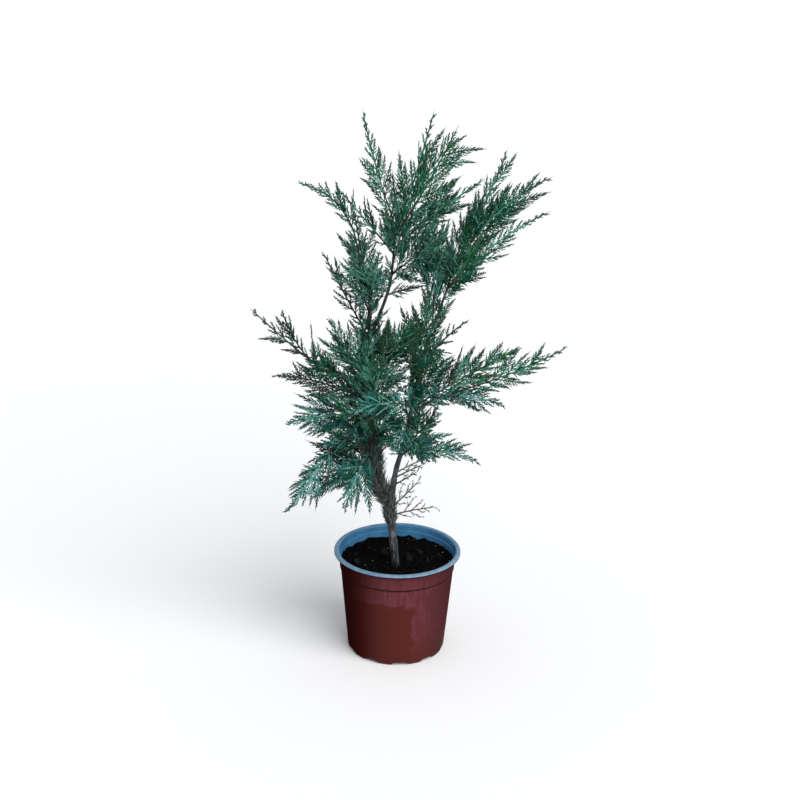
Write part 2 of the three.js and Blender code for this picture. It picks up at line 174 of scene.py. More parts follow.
def piece_of_arrays(name: str, places: Array, corners: Array, slots: Array) -> bpy.types.Object:
    """Makes an object from arrays of many small joined shapes, in millimetres.

    Args:
        name: The piece's name.
        places: Vertex positions, one a row.
        corners: Vertex numbers of each triangle, one a row.
        slots: Material slot of each triangle.

    Returns:
        The object, with its mesh in metres and smooth shading.
    """
    mesh = bpy.data.meshes.new(name)
    mesh.vertices.add(len(places))
    mesh.vertices.foreach_set("co", (places * MM).astype(np.float32).ravel())
    mesh.loops.add(corners.size)
    mesh.loops.foreach_set("vertex_index", corners.astype(np.int32).ravel())
    mesh.polygons.add(len(corners))
    mesh.polygons.foreach_set("loop_start", np.arange(0, corners.size, 3, dtype=np.int32))
    mesh.polygons.foreach_set("material_index", slots.astype(np.int32))
    mesh.polygons.foreach_set("use_smooth", np.ones(len(corners), bool))
    mesh.update(calc_edges=True)
    return object_of(name, mesh)


def turned(profile: list[tuple[float, float]], sides: int) -> bmesh.types.BMesh:
    """Turns a profile round the Z axis.

    Args:
        profile: Radius and height of each corner, from the axis out and back to it.
        sides: Steps of the full turn.

    Returns:
        A closed mesh whose faces point outwards.
    """
    bm = bmesh.new()
    line = [bm.verts.new((radius, 0, height)) for radius, height in profile]
    for a, b in zip(line, line[1:]):
        bm.edges.new((a, b))
    bmesh.ops.spin(
        bm, geom=bm.verts[:] + bm.edges[:], cent=(0, 0, 0), axis=(0, 0, 1), angle=2 * math.pi, steps=sides,
        use_merge=True,
    )
    bmesh.ops.remove_doubles(bm, verts=bm.verts, dist=MERGE)
    bmesh.ops.recalc_face_normals(bm, faces=bm.faces)
    return bm


def hand_over(piece: bpy.types.Object, slot: str, *nodes: str) -> None:
    """Puts a finished piece on the frame and reports it.

    Args:
        piece: The piece.
        slot: A material slot; not used.
        nodes: The CAD nodes that it stands for.
    """
    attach(piece, BODY)
    if nodes:
        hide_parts(*nodes)
    piece.data.calc_loop_triangles()
    count = len(piece.data.loop_triangles)
    if count >= MOST_TRIANGLES:
        raise ValueError(f"{piece.name} has {count} triangles")
    LOG.info("%s: %d triangles, stands for %d nodes", piece.name, count, len(nodes))


# ---- Finishes ----


@dataclass(frozen=True)
class Finish:
    """A real material: its common name, main colour and surface constants."""

    name: str
    colour: str
    roughness: float = 0.5
    ior: float = 1.5
    # Reflection that is left by dust, pores or wax, where a clean surface has 0.5
    specular: float = 0.5

    def material(self) -> bpy.types.Material:
        """Makes the Blender material, unless it is there already.

        Returns:
            The material.
        """
        made = bpy.data.materials.get(self.name)
        if made:
            return made
        made = bpy.data.materials.new(self.name)
        made.use_nodes = True
        made.diffuse_color = linear(self.colour)
        shader = made.node_tree.nodes["Principled BSDF"]
        for socket, value in (
            ("Base Color", linear(self.colour)),
            ("Roughness", self.roughness),
            ("IOR", self.ior),
            ("Specular IOR Level", self.specular),
        ):
            shader.inputs[socket].default_value = value
        self.pattern(made.node_tree, shader)
        return made

    def pattern(self, tree: bpy.types.NodeTree, shader: bpy.types.Node) -> None:
        """Adds what the surface shows beyond its constants; plain finishes add nothing."""


@dataclass(frozen=True)
class DustyPolypropylene(Finish):
    """Thermoformed polypropylene, red-brown outside: satin where it is wiped clean, and pinkish and matt
    under a bloom of dried splashes that covers the upper wall and one side. It has painted shade on the other
    side and at the far edge, a painted shadow under the lip, a darker groove below the collar, and old water
    stains in clouds."""

    dust: str = "#673a42"
    dust_roughness: float = 0.8
    # Colour of the old water stains, the darker groove, and the painted shade and shadow
    stain_and_shade: str = "#190807"
    # Height where the bloom begins, place along X where its clean side ends, and how wavy, how round at its
    # corner and how soft its edge is
    dust_height: float = 93.0
    dust_side: float = 23.0
    dust_wave: float = 34.0
    dust_corner: float = 14.0
    dust_edge: float = 5.0
    # Height of the groove below the collar, round which the wall is made darker
    groove_level: float = 115.6
    # Height of the lip's underside, below which the collar has a painted shadow
    lip_level: float = 138.5
    # Size and detail of the clouds in the bloom, of the runs down it and of its grit. Real dust is finer than
    # a pixel, so its grit is drawn 1.6 mm wide
    cloud: tuple[float, float] = (26.0, 5.0)
    run: tuple[float, float] = (5.0, 3.0)
    grit: tuple[float, float] = (1.6, 2.0)
    run_stretch: float = 0.14
    grit_relief: float = 0.3
    grit_strength: float = 0.12
    # How much of the bloom is left in the runs, in the grit, towards the foot and on the damp side
    run_cover: Ramp = (0.3, 0.7, 0.45, 1.0)
    grit_cover: Ramp = (0.32, 0.62, 0.5, 1.0)
    foot_cover: Ramp = (8.0, 52.0, 0.12, 1.0)
    side_cover: Ramp = (-70.0, -14.0, 0.1, 1.0)
    # How dark the painted shade is on the clean side and at the far side, how dark the groove is, how dark
    # the painted shadow is under the lip, and how dark the old water stains are in the clouds
    side_shade: Ramp = (-72.0, -6.0, 0.88, 0.0)
    far_shade: Ramp = (14.0, 80.0, 0.0, 0.56)
    groove_darkening: Ramp = (0.0, 2.2, 0.8, 0.0)
    lip_shade: Ramp = (0.0, 7.0, 0.9, 0.0)
    cloud_damp: Ramp = (0.32, 0.44, 0.14, 0.0)
    # Share of bloom, or of darkening by stains and painted shade, at which the gloss is gone
    glossless: float = 0.6

    def pattern(self, tree: bpy.types.NodeTree, shader: bpy.types.Node) -> None:
        """Mixes clean wall, bloom and darkening by height, side and cloudy noise: the darkening is painted
        shade at the sides, a painted shadow under the lip, a darker groove and old water stains.

        Args:
            tree: The material's node tree.
            shader: Its shader.
        """
        place = add_node(tree, "ShaderNodeTexCoord").outputs["Object"]
        axes = add_node(tree, "ShaderNodeSeparateXYZ", inputs={0: place})
        stretch = {"Vector": place, "Scale": (1.0, 1.0, self.run_stretch)}
        stretched = add_node(tree, "ShaderNodeMapping", inputs=stretch).outputs["Vector"]
        values = {"across": axes.outputs["X"], "height": axes.outputs["Z"]}
        for name, (size, detail), vector in (
            ("clouds", self.cloud, place),
            ("runs", self.run, stretched),
            ("grit", self.grit, place),
        ):
            grain = {"Vector": vector, "Scale": 1 / (size * MM), "Detail": detail}
            grain["Roughness"] = NOISE_ROUGHNESS
            values[name] = add_node(tree, "ShaderNodeTexNoise", inputs=grain).outputs["Fac"]
        for name, operation, *terms in (
            ("over", "ADD", "height", -self.dust_height * MM),
            ("beside", "ADD", "across", -self.dust_side * MM),
            ("edge", "SMOOTH_MAX", "over", "beside", self.dust_corner * MM),
            ("wave", "MULTIPLY_ADD", "clouds", self.dust_wave * MM, -0.5 * self.dust_wave * MM),
            ("bloom", "ADD", "edge", "wave"),
            ("past groove", "ADD", "height", -self.groove_level * MM),
            ("off groove", "ABSOLUTE", "past groove"),
            ("past lip", "ADD", "height", -self.lip_level * MM),
            ("off lip", "ABSOLUTE", "past lip"),
        ):
            inputs = {number: values.get(term, term) for number, term in enumerate(terms)}
            values[name] = add_node(tree, "ShaderNodeMath", {"operation": operation}, inputs).outputs[0]

        smooth = {"interpolation_type": "SMOOTHSTEP"}
        covers, darkenings = [], []
        for parts, source, (start, end, low, high), scale in (
            (covers, "bloom", (-self.dust_edge / 2, self.dust_edge / 2, 0.0, 1.0), MM),
            (covers, "runs", self.run_cover, 1.0),
            (covers, "grit", self.grit_cover, 1.0),
            (covers, "height", self.foot_cover, MM),
            (covers, "across", self.side_cover, MM),
            (darkenings, "across", self.side_shade, MM),
            (darkenings, "across", self.far_shade, MM),
            (darkenings, "off groove", self.groove_darkening, MM),
            (darkenings, "off lip", self.lip_shade, MM),
            (darkenings, "clouds", self.cloud_damp, 1.0),
        ):
            limits = {"From Min": start * scale, "From Max": end * scale, "To Min": low, "To Max": high}
            limits["Value"] = values[source]
            parts.append(add_node(tree, "ShaderNodeMapRange", smooth, limits).outputs[0])
        for name, operation, (amount, *parts) in (("cover", "MULTIPLY", covers), ("darkening", "MAXIMUM", darkenings)):
            for part in parts:
                inputs = {0: amount, 1: part}
                amount = add_node(tree, "ShaderNodeMath", {"operation": operation}, inputs).outputs[0]
            values[name] = amount

        colour = linear(self.colour)
        # The bloom is mixed in, then the dark colour by the darkening: painted shade and shadow, a darker
        # groove and old water stains
        for name, code in (("cover", self.dust), ("darkening", self.stain_and_shade)):
            layers = {0: values[name], 6: colour, 7: linear(code)}
            colour = add_node(tree, "ShaderNodeMix", {"data_type": "RGBA"}, layers).outputs[2]
        tree.links.new(colour, shader.inputs["Base Color"])
        inputs = {0: values["darkening"], 1: values["cover"]}
        dulled = add_node(tree, "ShaderNodeMath", {"operation": "MAXIMUM"}, inputs).outputs[0]
        for socket, source, end, low, high in (
            ("Roughness", values["cover"], 1.0, self.roughness, self.dust_roughness),
            ("Specular IOR Level", dulled, self.glossless, self.specular, 0.0),
        ):
            limits = {"Value": source, "From Min": 0.0, "From Max": end, "To Min": low, "To Max": high}
            result = add_node(tree, "ShaderNodeMapRange", smooth, limits).outputs[0]
            tree.links.new(result, shader.inputs[socket])
        relief = {"Height": values["grit"], "Strength": self.grit_strength, "Distance": self.grit_relief * MM}
        bump = add_node(tree, "ShaderNodeBump", inputs=relief)
        tree.links.new(bump.outputs[0], shader.inputs["Normal"])


@dataclass(frozen=True)
class Mottled(Finish):
    """A matt material in two or three shades that lie in patches of one real size, with a relief to match."""

    shades: tuple[tuple[float, str], ...] = ()
    patch: float = 4.0
    detail: float = 4.0
    stretch: float = 1.0
    relief: float = 0.4
    strength: float = 0.5
    # Heights between which the surface goes from darker to its own colour, and the colour that it is
    # multiplied by at the darker end
    darkening_heights: tuple[float, float] | None = None
    darkening_colour: str = "#858380"

    def pattern(self, tree: bpy.types.NodeTree, shader: bpy.types.Node) -> None:
        """Colours the surface by noise at the patch size, and bumps it by the same noise.

        Args:
            tree: The material's node tree.
            shader: Its shader.
        """
        place = add_node(tree, "ShaderNodeTexCoord").outputs["Object"]
        stretch = {"Vector": place, "Scale": (1.0, 1.0, self.stretch)}
        stretched = add_node(tree, "ShaderNodeMapping", inputs=stretch).outputs["Vector"]
        grain = {"Vector": stretched, "Scale": 1 / (self.patch * MM), "Detail": self.detail}
        grain["Roughness"] = NOISE_ROUGHNESS
        patches = add_node(tree, "ShaderNodeTexNoise", inputs=grain).outputs["Fac"]
        shaded = add_node(tree, "ShaderNodeValToRGB", inputs={"Fac": patches}, ramp=self.shades)
        colour = shaded.outputs["Color"]
        # Darker below a height, fading out above it
        if self.darkening_heights:
            height = add_node(tree, "ShaderNodeSeparateXYZ", inputs={0: place}).outputs["Z"]
            darkest_at, clear_at = self.darkening_heights
            limits = {"From Min": darkest_at * MM, "From Max": clear_at * MM, "To Min": 1.0, "To Max": 0.0}
            limits["Value"] = height
            darkening = add_node(tree, "ShaderNodeMapRange", inputs=limits).outputs[0]
            blend = {"data_type": "RGBA", "blend_type": "MULTIPLY"}
            layers = {0: darkening, 6: colour, 7: linear(self.darkening_colour)}
            colour = add_node(tree, "ShaderNodeMix", blend, layers).outputs[2]
        tree.links.new(colour, shader.inputs["Base Color"])
        relief = {"Height": patches, "Strength": self.strength, "Distance": self.relief * MM}
        bump = add_node(tree, "ShaderNodeBump", inputs=relief)
        tree.links.new(bump.outputs[0], shader.inputs["Normal"])


class Numbered(Enum):
    """Named options that arrays hold by number."""

    @property
    def number(self) -> int:
        """The option's place in its list."""
        return list(type(self)).index(self)


class Tint(Numbered):
    """Plain colours that are dealt out to the cords of the foliage. Living scales have a waxy bloom, which
    turns them bluish in open light, and old or shaded ones go olive, dark or grey-brown."""

    DEEP = "#174f3d"
    GREEN = "#22694c"
    TEAL = "#246e68"
    PALE = "#65a098"
    SILVER = "#589680"
    FRESH = "#357547"
    DARK = "#0f2c21"
    OLIVE = "#335238"
    WORN = "#434b44"
    WOOD = "#3b332d"
    DEAD = "#5d5d59"
    ASH = "#7e8583"

    def finish(self) -> Finish:
        """The waxy scale leaf, bark or dead scale of this colour."""
        name = f"cypress scale leaf {self.name.lower()}"
        return Finish(name, self.value, roughness=0.6, ior=1.45, specular=0.12)


# Outside of the pot: red-brown skin of the two-layer sheet
POT_SKIN = DustyPolypropylene(
    "thermoformed polypropylene red-brown", "#4f1d19", roughness=0.42, ior=1.49, specular=0.09
)
# Inside of the pot: clean blue skin, with the faint cloudiness of formed sheet, painted darker than the same
# blue on the lip as painted shade inside the pot
POT_LINING = Mottled(
    "thermoformed polypropylene blue", "#3d7aa3", roughness=0.4, ior=1.49, specular=0.25,
    shades=((0.3, "#346d96"), (0.7, "#4a88b1")), patch=18.0, relief=0.2, strength=0.15,
)
# The same blue where it rolls out over the lip: greyed and dulled by handling, and painted lighter than the
# lining as the lit top of the rim
POT_LIP = Mottled(
    "thermoformed polypropylene scuffed blue", "#6c8ba2", roughness=0.5, ior=1.49, specular=0.15,
    shades=((0.3, "#587b97"), (0.7, "#809aab")), patch=9.0, relief=0.2, strength=0.2,
)
# Damp peat mix: almost black, matt, in crumbs
PEAT = Mottled(
    "peat potting mix", "#0a0908", roughness=0.95, ior=1.4, specular=0.04,
    shades=((0.35, "#040404"), (0.58, "#0c0b0a"), (0.78, "#221d19")), patch=3.0, relief=1.2, strength=0.9,
)
# Clods of the same mix that have dried: dark grey
DRY_PEAT = Mottled(
    "dried peat", "#1d1c1c", roughness=0.95, ior=1.4, specular=0.04,
    shades=((0.35, "#0c0b0b"), (0.6, "#232222"), (0.8, "#3a3837")), patch=2.0, relief=0.8, strength=0.9,
)
# Expanded volcanic glass: chalk-white, rough
PERLITE = Mottled(
    "perlite", "#c9c6bd", roughness=0.9, ior=1.5, specular=0.2,
    shades=((0.3, "#9a978f"), (0.7, "#e4e1d9")), patch=0.8, relief=0.3,
)
# Chips of composted bark: orange-brown broken faces
BARK_CHIP = Mottled(
    "composted pine bark", "#3e2a1e", roughness=0.85, ior=1.5, specular=0.1,
    shades=((0.3, "#1f1510"), (0.6, "#43301f"), (0.8, "#6b4c33")), patch=1.5, relief=0.3,
)
# Young cypress bark: dried grey-brown strips that run up the stem, with paler edges, and darker just above
# the soil. The strips are drawn 2 mm wide, wider than life, so that they show
BARK = Mottled(
    "cypress bark", "#4c4b4b", roughness=0.9, ior=1.5, specular=0.1,
    shades=((0.3, "#1b1c1d"), (0.5, "#3a3b3d"), (0.72, "#7a7d82")), patch=2.0, stretch=0.16, relief=0.5,
    darkening_heights=(124.0, 150.0),
)
# Painted studio board: pale and matt
FLOOR_BOARD = Finish("painted board", "#fbfbfa", roughness=0.9, ior=1.5, specular=0.1)


# ---- The source's tables of limbs and sprays ----


class Region(Numbered):
    """Parts of the crown. The foliage of each is one piece of cordlets and one of twigs."""

    CROWN = "crown"
    RIGHT_HEAD = "right_head"
    LEFT_HEAD = "left_head"
    LEFT_SIDE = "left_side"
    LOW_LEFT = "low_left"
    MIDDLE = "middle"
    RIGHT_SIDE = "right_side"


class Palette(Enum):
    """Tints of a spray with their weights: first of its cordlets, then of the lines that carry them."""

    GREEN = (
        ((Tint.GREEN, 5), (Tint.DEEP, 4), (Tint.OLIVE, 1), (Tint.SILVER, 1)),
        ((Tint.SILVER, 3), (Tint.GREEN, 3), (Tint.OLIVE, 1)),
    )
    BLUISH = (
        ((Tint.TEAL, 6), (Tint.DEEP, 3), (Tint.PALE, 1)),
        ((Tint.PALE, 5), (Tint.TEAL, 2)),
    )
    SILVERY = (
        ((Tint.SILVER, 4), (Tint.GREEN, 4), (Tint.DEEP, 2)),
        ((Tint.PALE, 2), (Tint.SILVER, 4)),
    )
    FRESH = (
        ((Tint.GREEN, 5), (Tint.FRESH, 3), (Tint.DEEP, 3)),
        ((Tint.FRESH, 2), (Tint.GREEN, 3), (Tint.SILVER, 1)),
    )
    SHADED = (
        ((Tint.DARK, 5), (Tint.DEEP, 4), (Tint.WORN, 2)),
        ((Tint.WORN, 4), (Tint.DARK, 2), (Tint.WOOD, 1)),
    )

    def deal(self, lines: bool, count: int, rng: np.random.Generator) -> Array:
        """Draws tints at random by weight.

        Args:
            lines: Whether these are for lines, and not for cordlets.
            count: How many to draw.
            rng: The source of random numbers.

        Returns:
            Tint numbers.
        """
        tints, weights = zip(*self.value[1 if lines else 0])
        chances = np.array(weights, float) / sum(weights)
        return rng.choice([tint.number for tint in tints], count, p=chances)


@dataclass(frozen=True)
class LimbRow:
    """A limb: a foot, or the limb and share of the way along it where it starts, the points it passes
    through to its tip, its radius at foot and tip, and its flare at the ground."""

    start: Point | tuple[str, float]
    through: tuple[Point, ...]
    radii: tuple[float, float]
    flare: float = 0.0


@dataclass(frozen=True)
class TwigRow:
    """A twig or a single side spray: the limb or spray that carries it and how far along, its tip, its width
    as a share of its length, the turn of its flat face in degrees, its colours, and how much it arches up
    beyond the rule of growth."""

    on: str
    at: float
    tip: Point
    width: float
    turn: float
    palette: Palette = Palette.GREEN
    arch: float = 0.0


@dataclass(frozen=True)
class SprayRow(TwigRow):
    """A whole spray, with how closely its side sprays stand."""

    fill: float = 1.0


TRUNK_FOOT = (-1, -14, 117.3)
FORK = (-12, -5, 210)
LIMBS: dict[str, LimbRow] = {
    "trunk": LimbRow(TRUNK_FOOT, ((-6, -10, 163), FORK), (4.8, 6.1), 1.3),
    "left_stem": LimbRow(
        FORK,
        (
            (-27, -3, 236), (-33, 0, 266), (-40, 3, 315), (-46, 6, 392), (-41, 6, 450),
            (-42, 6, 492), (-62, 4, 582),
        ),
        (5.2, 1.2),
    ),
    "right_stem": LimbRow(
        ("trunk", 0.9),
        ((-4, -3, 255), (9, -4, 306), (19, -5, 368), (34, -3, 438), (48, 0, 478), (69, 5, 545)),
        (4.0, 1.2),
    ),
    "leader": LimbRow(("left_stem", 0.6), ((-31, 11, 462), (-16, 12, 508), (-9, 5, 588)), (2.7, 1.2)),
    "bough_left": LimbRow(("left_stem", 0.42), ((-78, 0, 391), (-118, -8, 413)), (2.2, 1.2)),
    "bough_right": LimbRow(("right_stem", 0.4), ((46, -10, 362), (82, -14, 377)), (2.2, 1.2)),
    "bough_low_left": LimbRow(("left_stem", 0.26), ((-58, -14, 312), (-86, -30, 300)), (2.0, 1.1)),
    "bough_low_right": LimbRow(("right_stem", 0.22), ((14, -8, 290), (30, -12, 291)), (1.7, 1.0)),
    "bough_front": LimbRow(("right_stem", 0.46), ((16, -34, 376), (8, -62, 374)), (1.9, 1.1)),
    "bough_back_left": LimbRow(("left_stem", 0.36), ((-56, 36, 352), (-72, 66, 358)), (1.9, 1.1)),
    "bough_back_right": LimbRow(("right_stem", 0.44), ((34, 32, 398), (48, 64, 400)), (1.9, 1.1)),
}
STEMS = ("trunk", "left_stem", "right_stem", "leader")
# Corners of the box that the solids of the plant reach
REACH = np.array(((-195, -122, 0), (217, 131, 741)))

SPRAYS: dict[Region, dict[str, SprayRow]] = {
    Region.CROWN: {
        "spray_top_left": SprayRow("leader", 1, (-53, 0, 741), 0.24, 90, fill=1.1, arch=-0.03),
        "spray_top_right": SprayRow("leader", 0.92, (37, 10, 740), 0.2, 80, Palette.FRESH),
        "spray_top_front": SprayRow("leader", 0.92, (67, -20, 728), 0.43, 70, Palette.FRESH),
        "spray_crown_right": SprayRow(
            "leader", 0.82, (106, 40, 645), 0.24, 70, Palette.SILVERY, fill=1.4, arch=0.03
        ),
        "spray_crown_back": SprayRow("leader", 0.72, (25, 130, 645), 0.4, 10, fill=0.8),
        "spray_crown_left": SprayRow("leader", 0.78, (-84, 75, 618), 0.24, -42, fill=0.9),
        "spray_crown_front": SprayRow("leader", 0.6, (53, -88, 607), 0.55, 75, Palette.SILVERY, fill=1.6),
    },
    Region.RIGHT_HEAD: {
        "spray_right_tall": SprayRow("right_stem", 1, (130, 10, 692), 0.27, 85, fill=1.3),
        "spray_right_high": SprayRow(
            "right_stem", 0.95, (186, -50, 673), 0.26, 80, Palette.FRESH, fill=1.4, arch=0.14
        ),
        "spray_right_wide": SprayRow("right_stem", 0.9, (194, 80, 593), 0.19, 65, fill=1.3, arch=0.05),
        "spray_right_front": SprayRow("right_stem", 0.88, (99, -110, 620), 0.3, -40, Palette.FRESH, fill=1.4),
        "spray_right_back": SprayRow("right_stem", 0.82, (98, 130, 600), 0.36, 40, fill=1.3),
        "spray_right_neck": SprayRow("right_stem", 0.74, (40, -30, 620), 0.5, 50, Palette.SILVERY, fill=1.5),
    },
    Region.LEFT_HEAD: {
        "spray_left_tall": SprayRow("left_stem", 1, (-132, -40, 655), 0.25, -85, fill=1.4, arch=0.17),
        "spray_left_side": SprayRow("left_stem", 0.62, (-105, 70, 537), 0.18, -55, Palette.SHADED),
        "spray_left_column": SprayRow("left_stem", 0.7, (-65, -40, 570), 0.5, 46, Palette.SILVERY, fill=1.5),
        "spray_left_front": SprayRow(
            "left_stem", 0.74, (-28, -80, 585), 0.42, -18, Palette.SILVERY, fill=1.2
        ),
        "spray_left_rear": SprayRow("left_stem", 0.8, (-66, 118, 584), 0.3, -20, fill=1.1),
    },
    Region.LEFT_SIDE: {
        "spray_left_reach": SprayRow("bough_left", 1, (-195, -10, 483), 0.2, -65, Palette.SHADED, fill=0.8),
        "spray_left_spire": SprayRow(
            "left_stem", 0.46, (-93, -26, 479), 0.48, 60, Palette.SILVERY, fill=1.35
        ),
        "spray_left_spike": SprayRow(
            "bough_left", 0.98, (-157, 40, 466), 0.2, -60, Palette.SHADED, fill=1.2, arch=-0.12
        ),
        "spray_left_dark": SprayRow("left_stem", 0.39, (-174, 70, 361), 0.3, -60, Palette.SHADED, fill=1.6),
        "spray_left_flat": SprayRow(
            "left_stem", 0.34, (-149, -60, 343), 0.42, -45, Palette.BLUISH, fill=1.9, arch=-0.02
        ),
        "spray_left_behind": SprayRow("bough_back_left", 1, (-112, 118, 340), 0.5, -50, fill=1.2),
        "spray_front_fan": SprayRow("bough_front", 1, (-67, -122, 383), 0.5, -70, Palette.BLUISH, fill=1.6),
    },
    Region.LOW_LEFT: {
        "spray_low_left": SprayRow(
            "bough_low_left", 1, (-148, -62, 218), 0.34, -70, Palette.BLUISH, fill=2, arch=-0.2
        ),
        "spray_low_side": SprayRow("left_stem", 0.22, (-111, 30, 275), 0.6, -70, fill=2),
        "spray_low_front": SprayRow("left_stem", 0.2, (-70, -82, 228), 0.52, -40, Palette.BLUISH, fill=1.6),
        "spray_low_middle": SprayRow("left_stem", 0.24, (0, -58, 390), 0.5, -40, fill=1.6),
        "spray_low_hang": SprayRow("left_stem", 0.14, (-107, -14, 244), 0.8, -70, Palette.BLUISH, fill=1.6),
        "spray_low_wing": SprayRow("left_stem", 0.31, (-96, -74, 393), 0.44, -55, fill=1.3),
        "spray_low_back": SprayRow("left_stem", 0.24, (-92, 100, 222), 0.6, -40, fill=1.5),
    },
    Region.MIDDLE: {
        "spray_mid_up": SprayRow("right_stem", 0.52, (32, -52, 524), 0.4, -14, fill=1.5),
        "spray_mid_cross": SprayRow("left_stem", 0.43, (16, -58, 488), 0.6, -50, fill=1.7, arch=0.02),
        "spray_mid_left": SprayRow("left_stem", 0.4, (-57, -74, 484), 0.5, 25, Palette.SILVERY, fill=0.9),
        "spray_mid_front": SprayRow("left_stem", 0.33, (-21, -82, 451), 0.55, -30, fill=1.1),
        "spray_mid_low": SprayRow("right_stem", 0.36, (-4, -74, 310), 0.8, -10, Palette.BLUISH, fill=2),
    },
    Region.RIGHT_SIDE: {
        "spray_right_long": SprayRow(
            "bough_right", 1, (217, -10, 438), 0.25, 65, Palette.FRESH, fill=1.2, arch=-0.05
        ),
        "spray_right_upper": SprayRow("right_stem", 0.42, (163, 60, 412), 0.28, 60, fill=1.6, arch=-0.01),
        "spray_right_under": SprayRow("bough_right", 0.6, (135, -60, 373), 0.4, 70, Palette.BLUISH, fill=1.6),
        "spray_right_twig": SprayRow("right_stem", 0.6, (92, 85, 441), 0.2, 55, Palette.SHADED, fill=0.7),
        "spray_right_inner": SprayRow("right_stem", 0.48, (49, -58, 463), 0.5, -50, fill=1.8),
        "spray_right_rear": SprayRow("bough_back_right", 1, (56, 128, 356), 0.4, 20),
        "spray_low_right": SprayRow(
            "bough_low_right", 1, (106, -20, 277), 0.36, 60, Palette.BLUISH, fill=1.6, arch=-0.03
        ),
        "spray_low_right_up": SprayRow("right_stem", 0.24, (57, 80, 309), 0.5, 50, fill=1.5),
    },
}
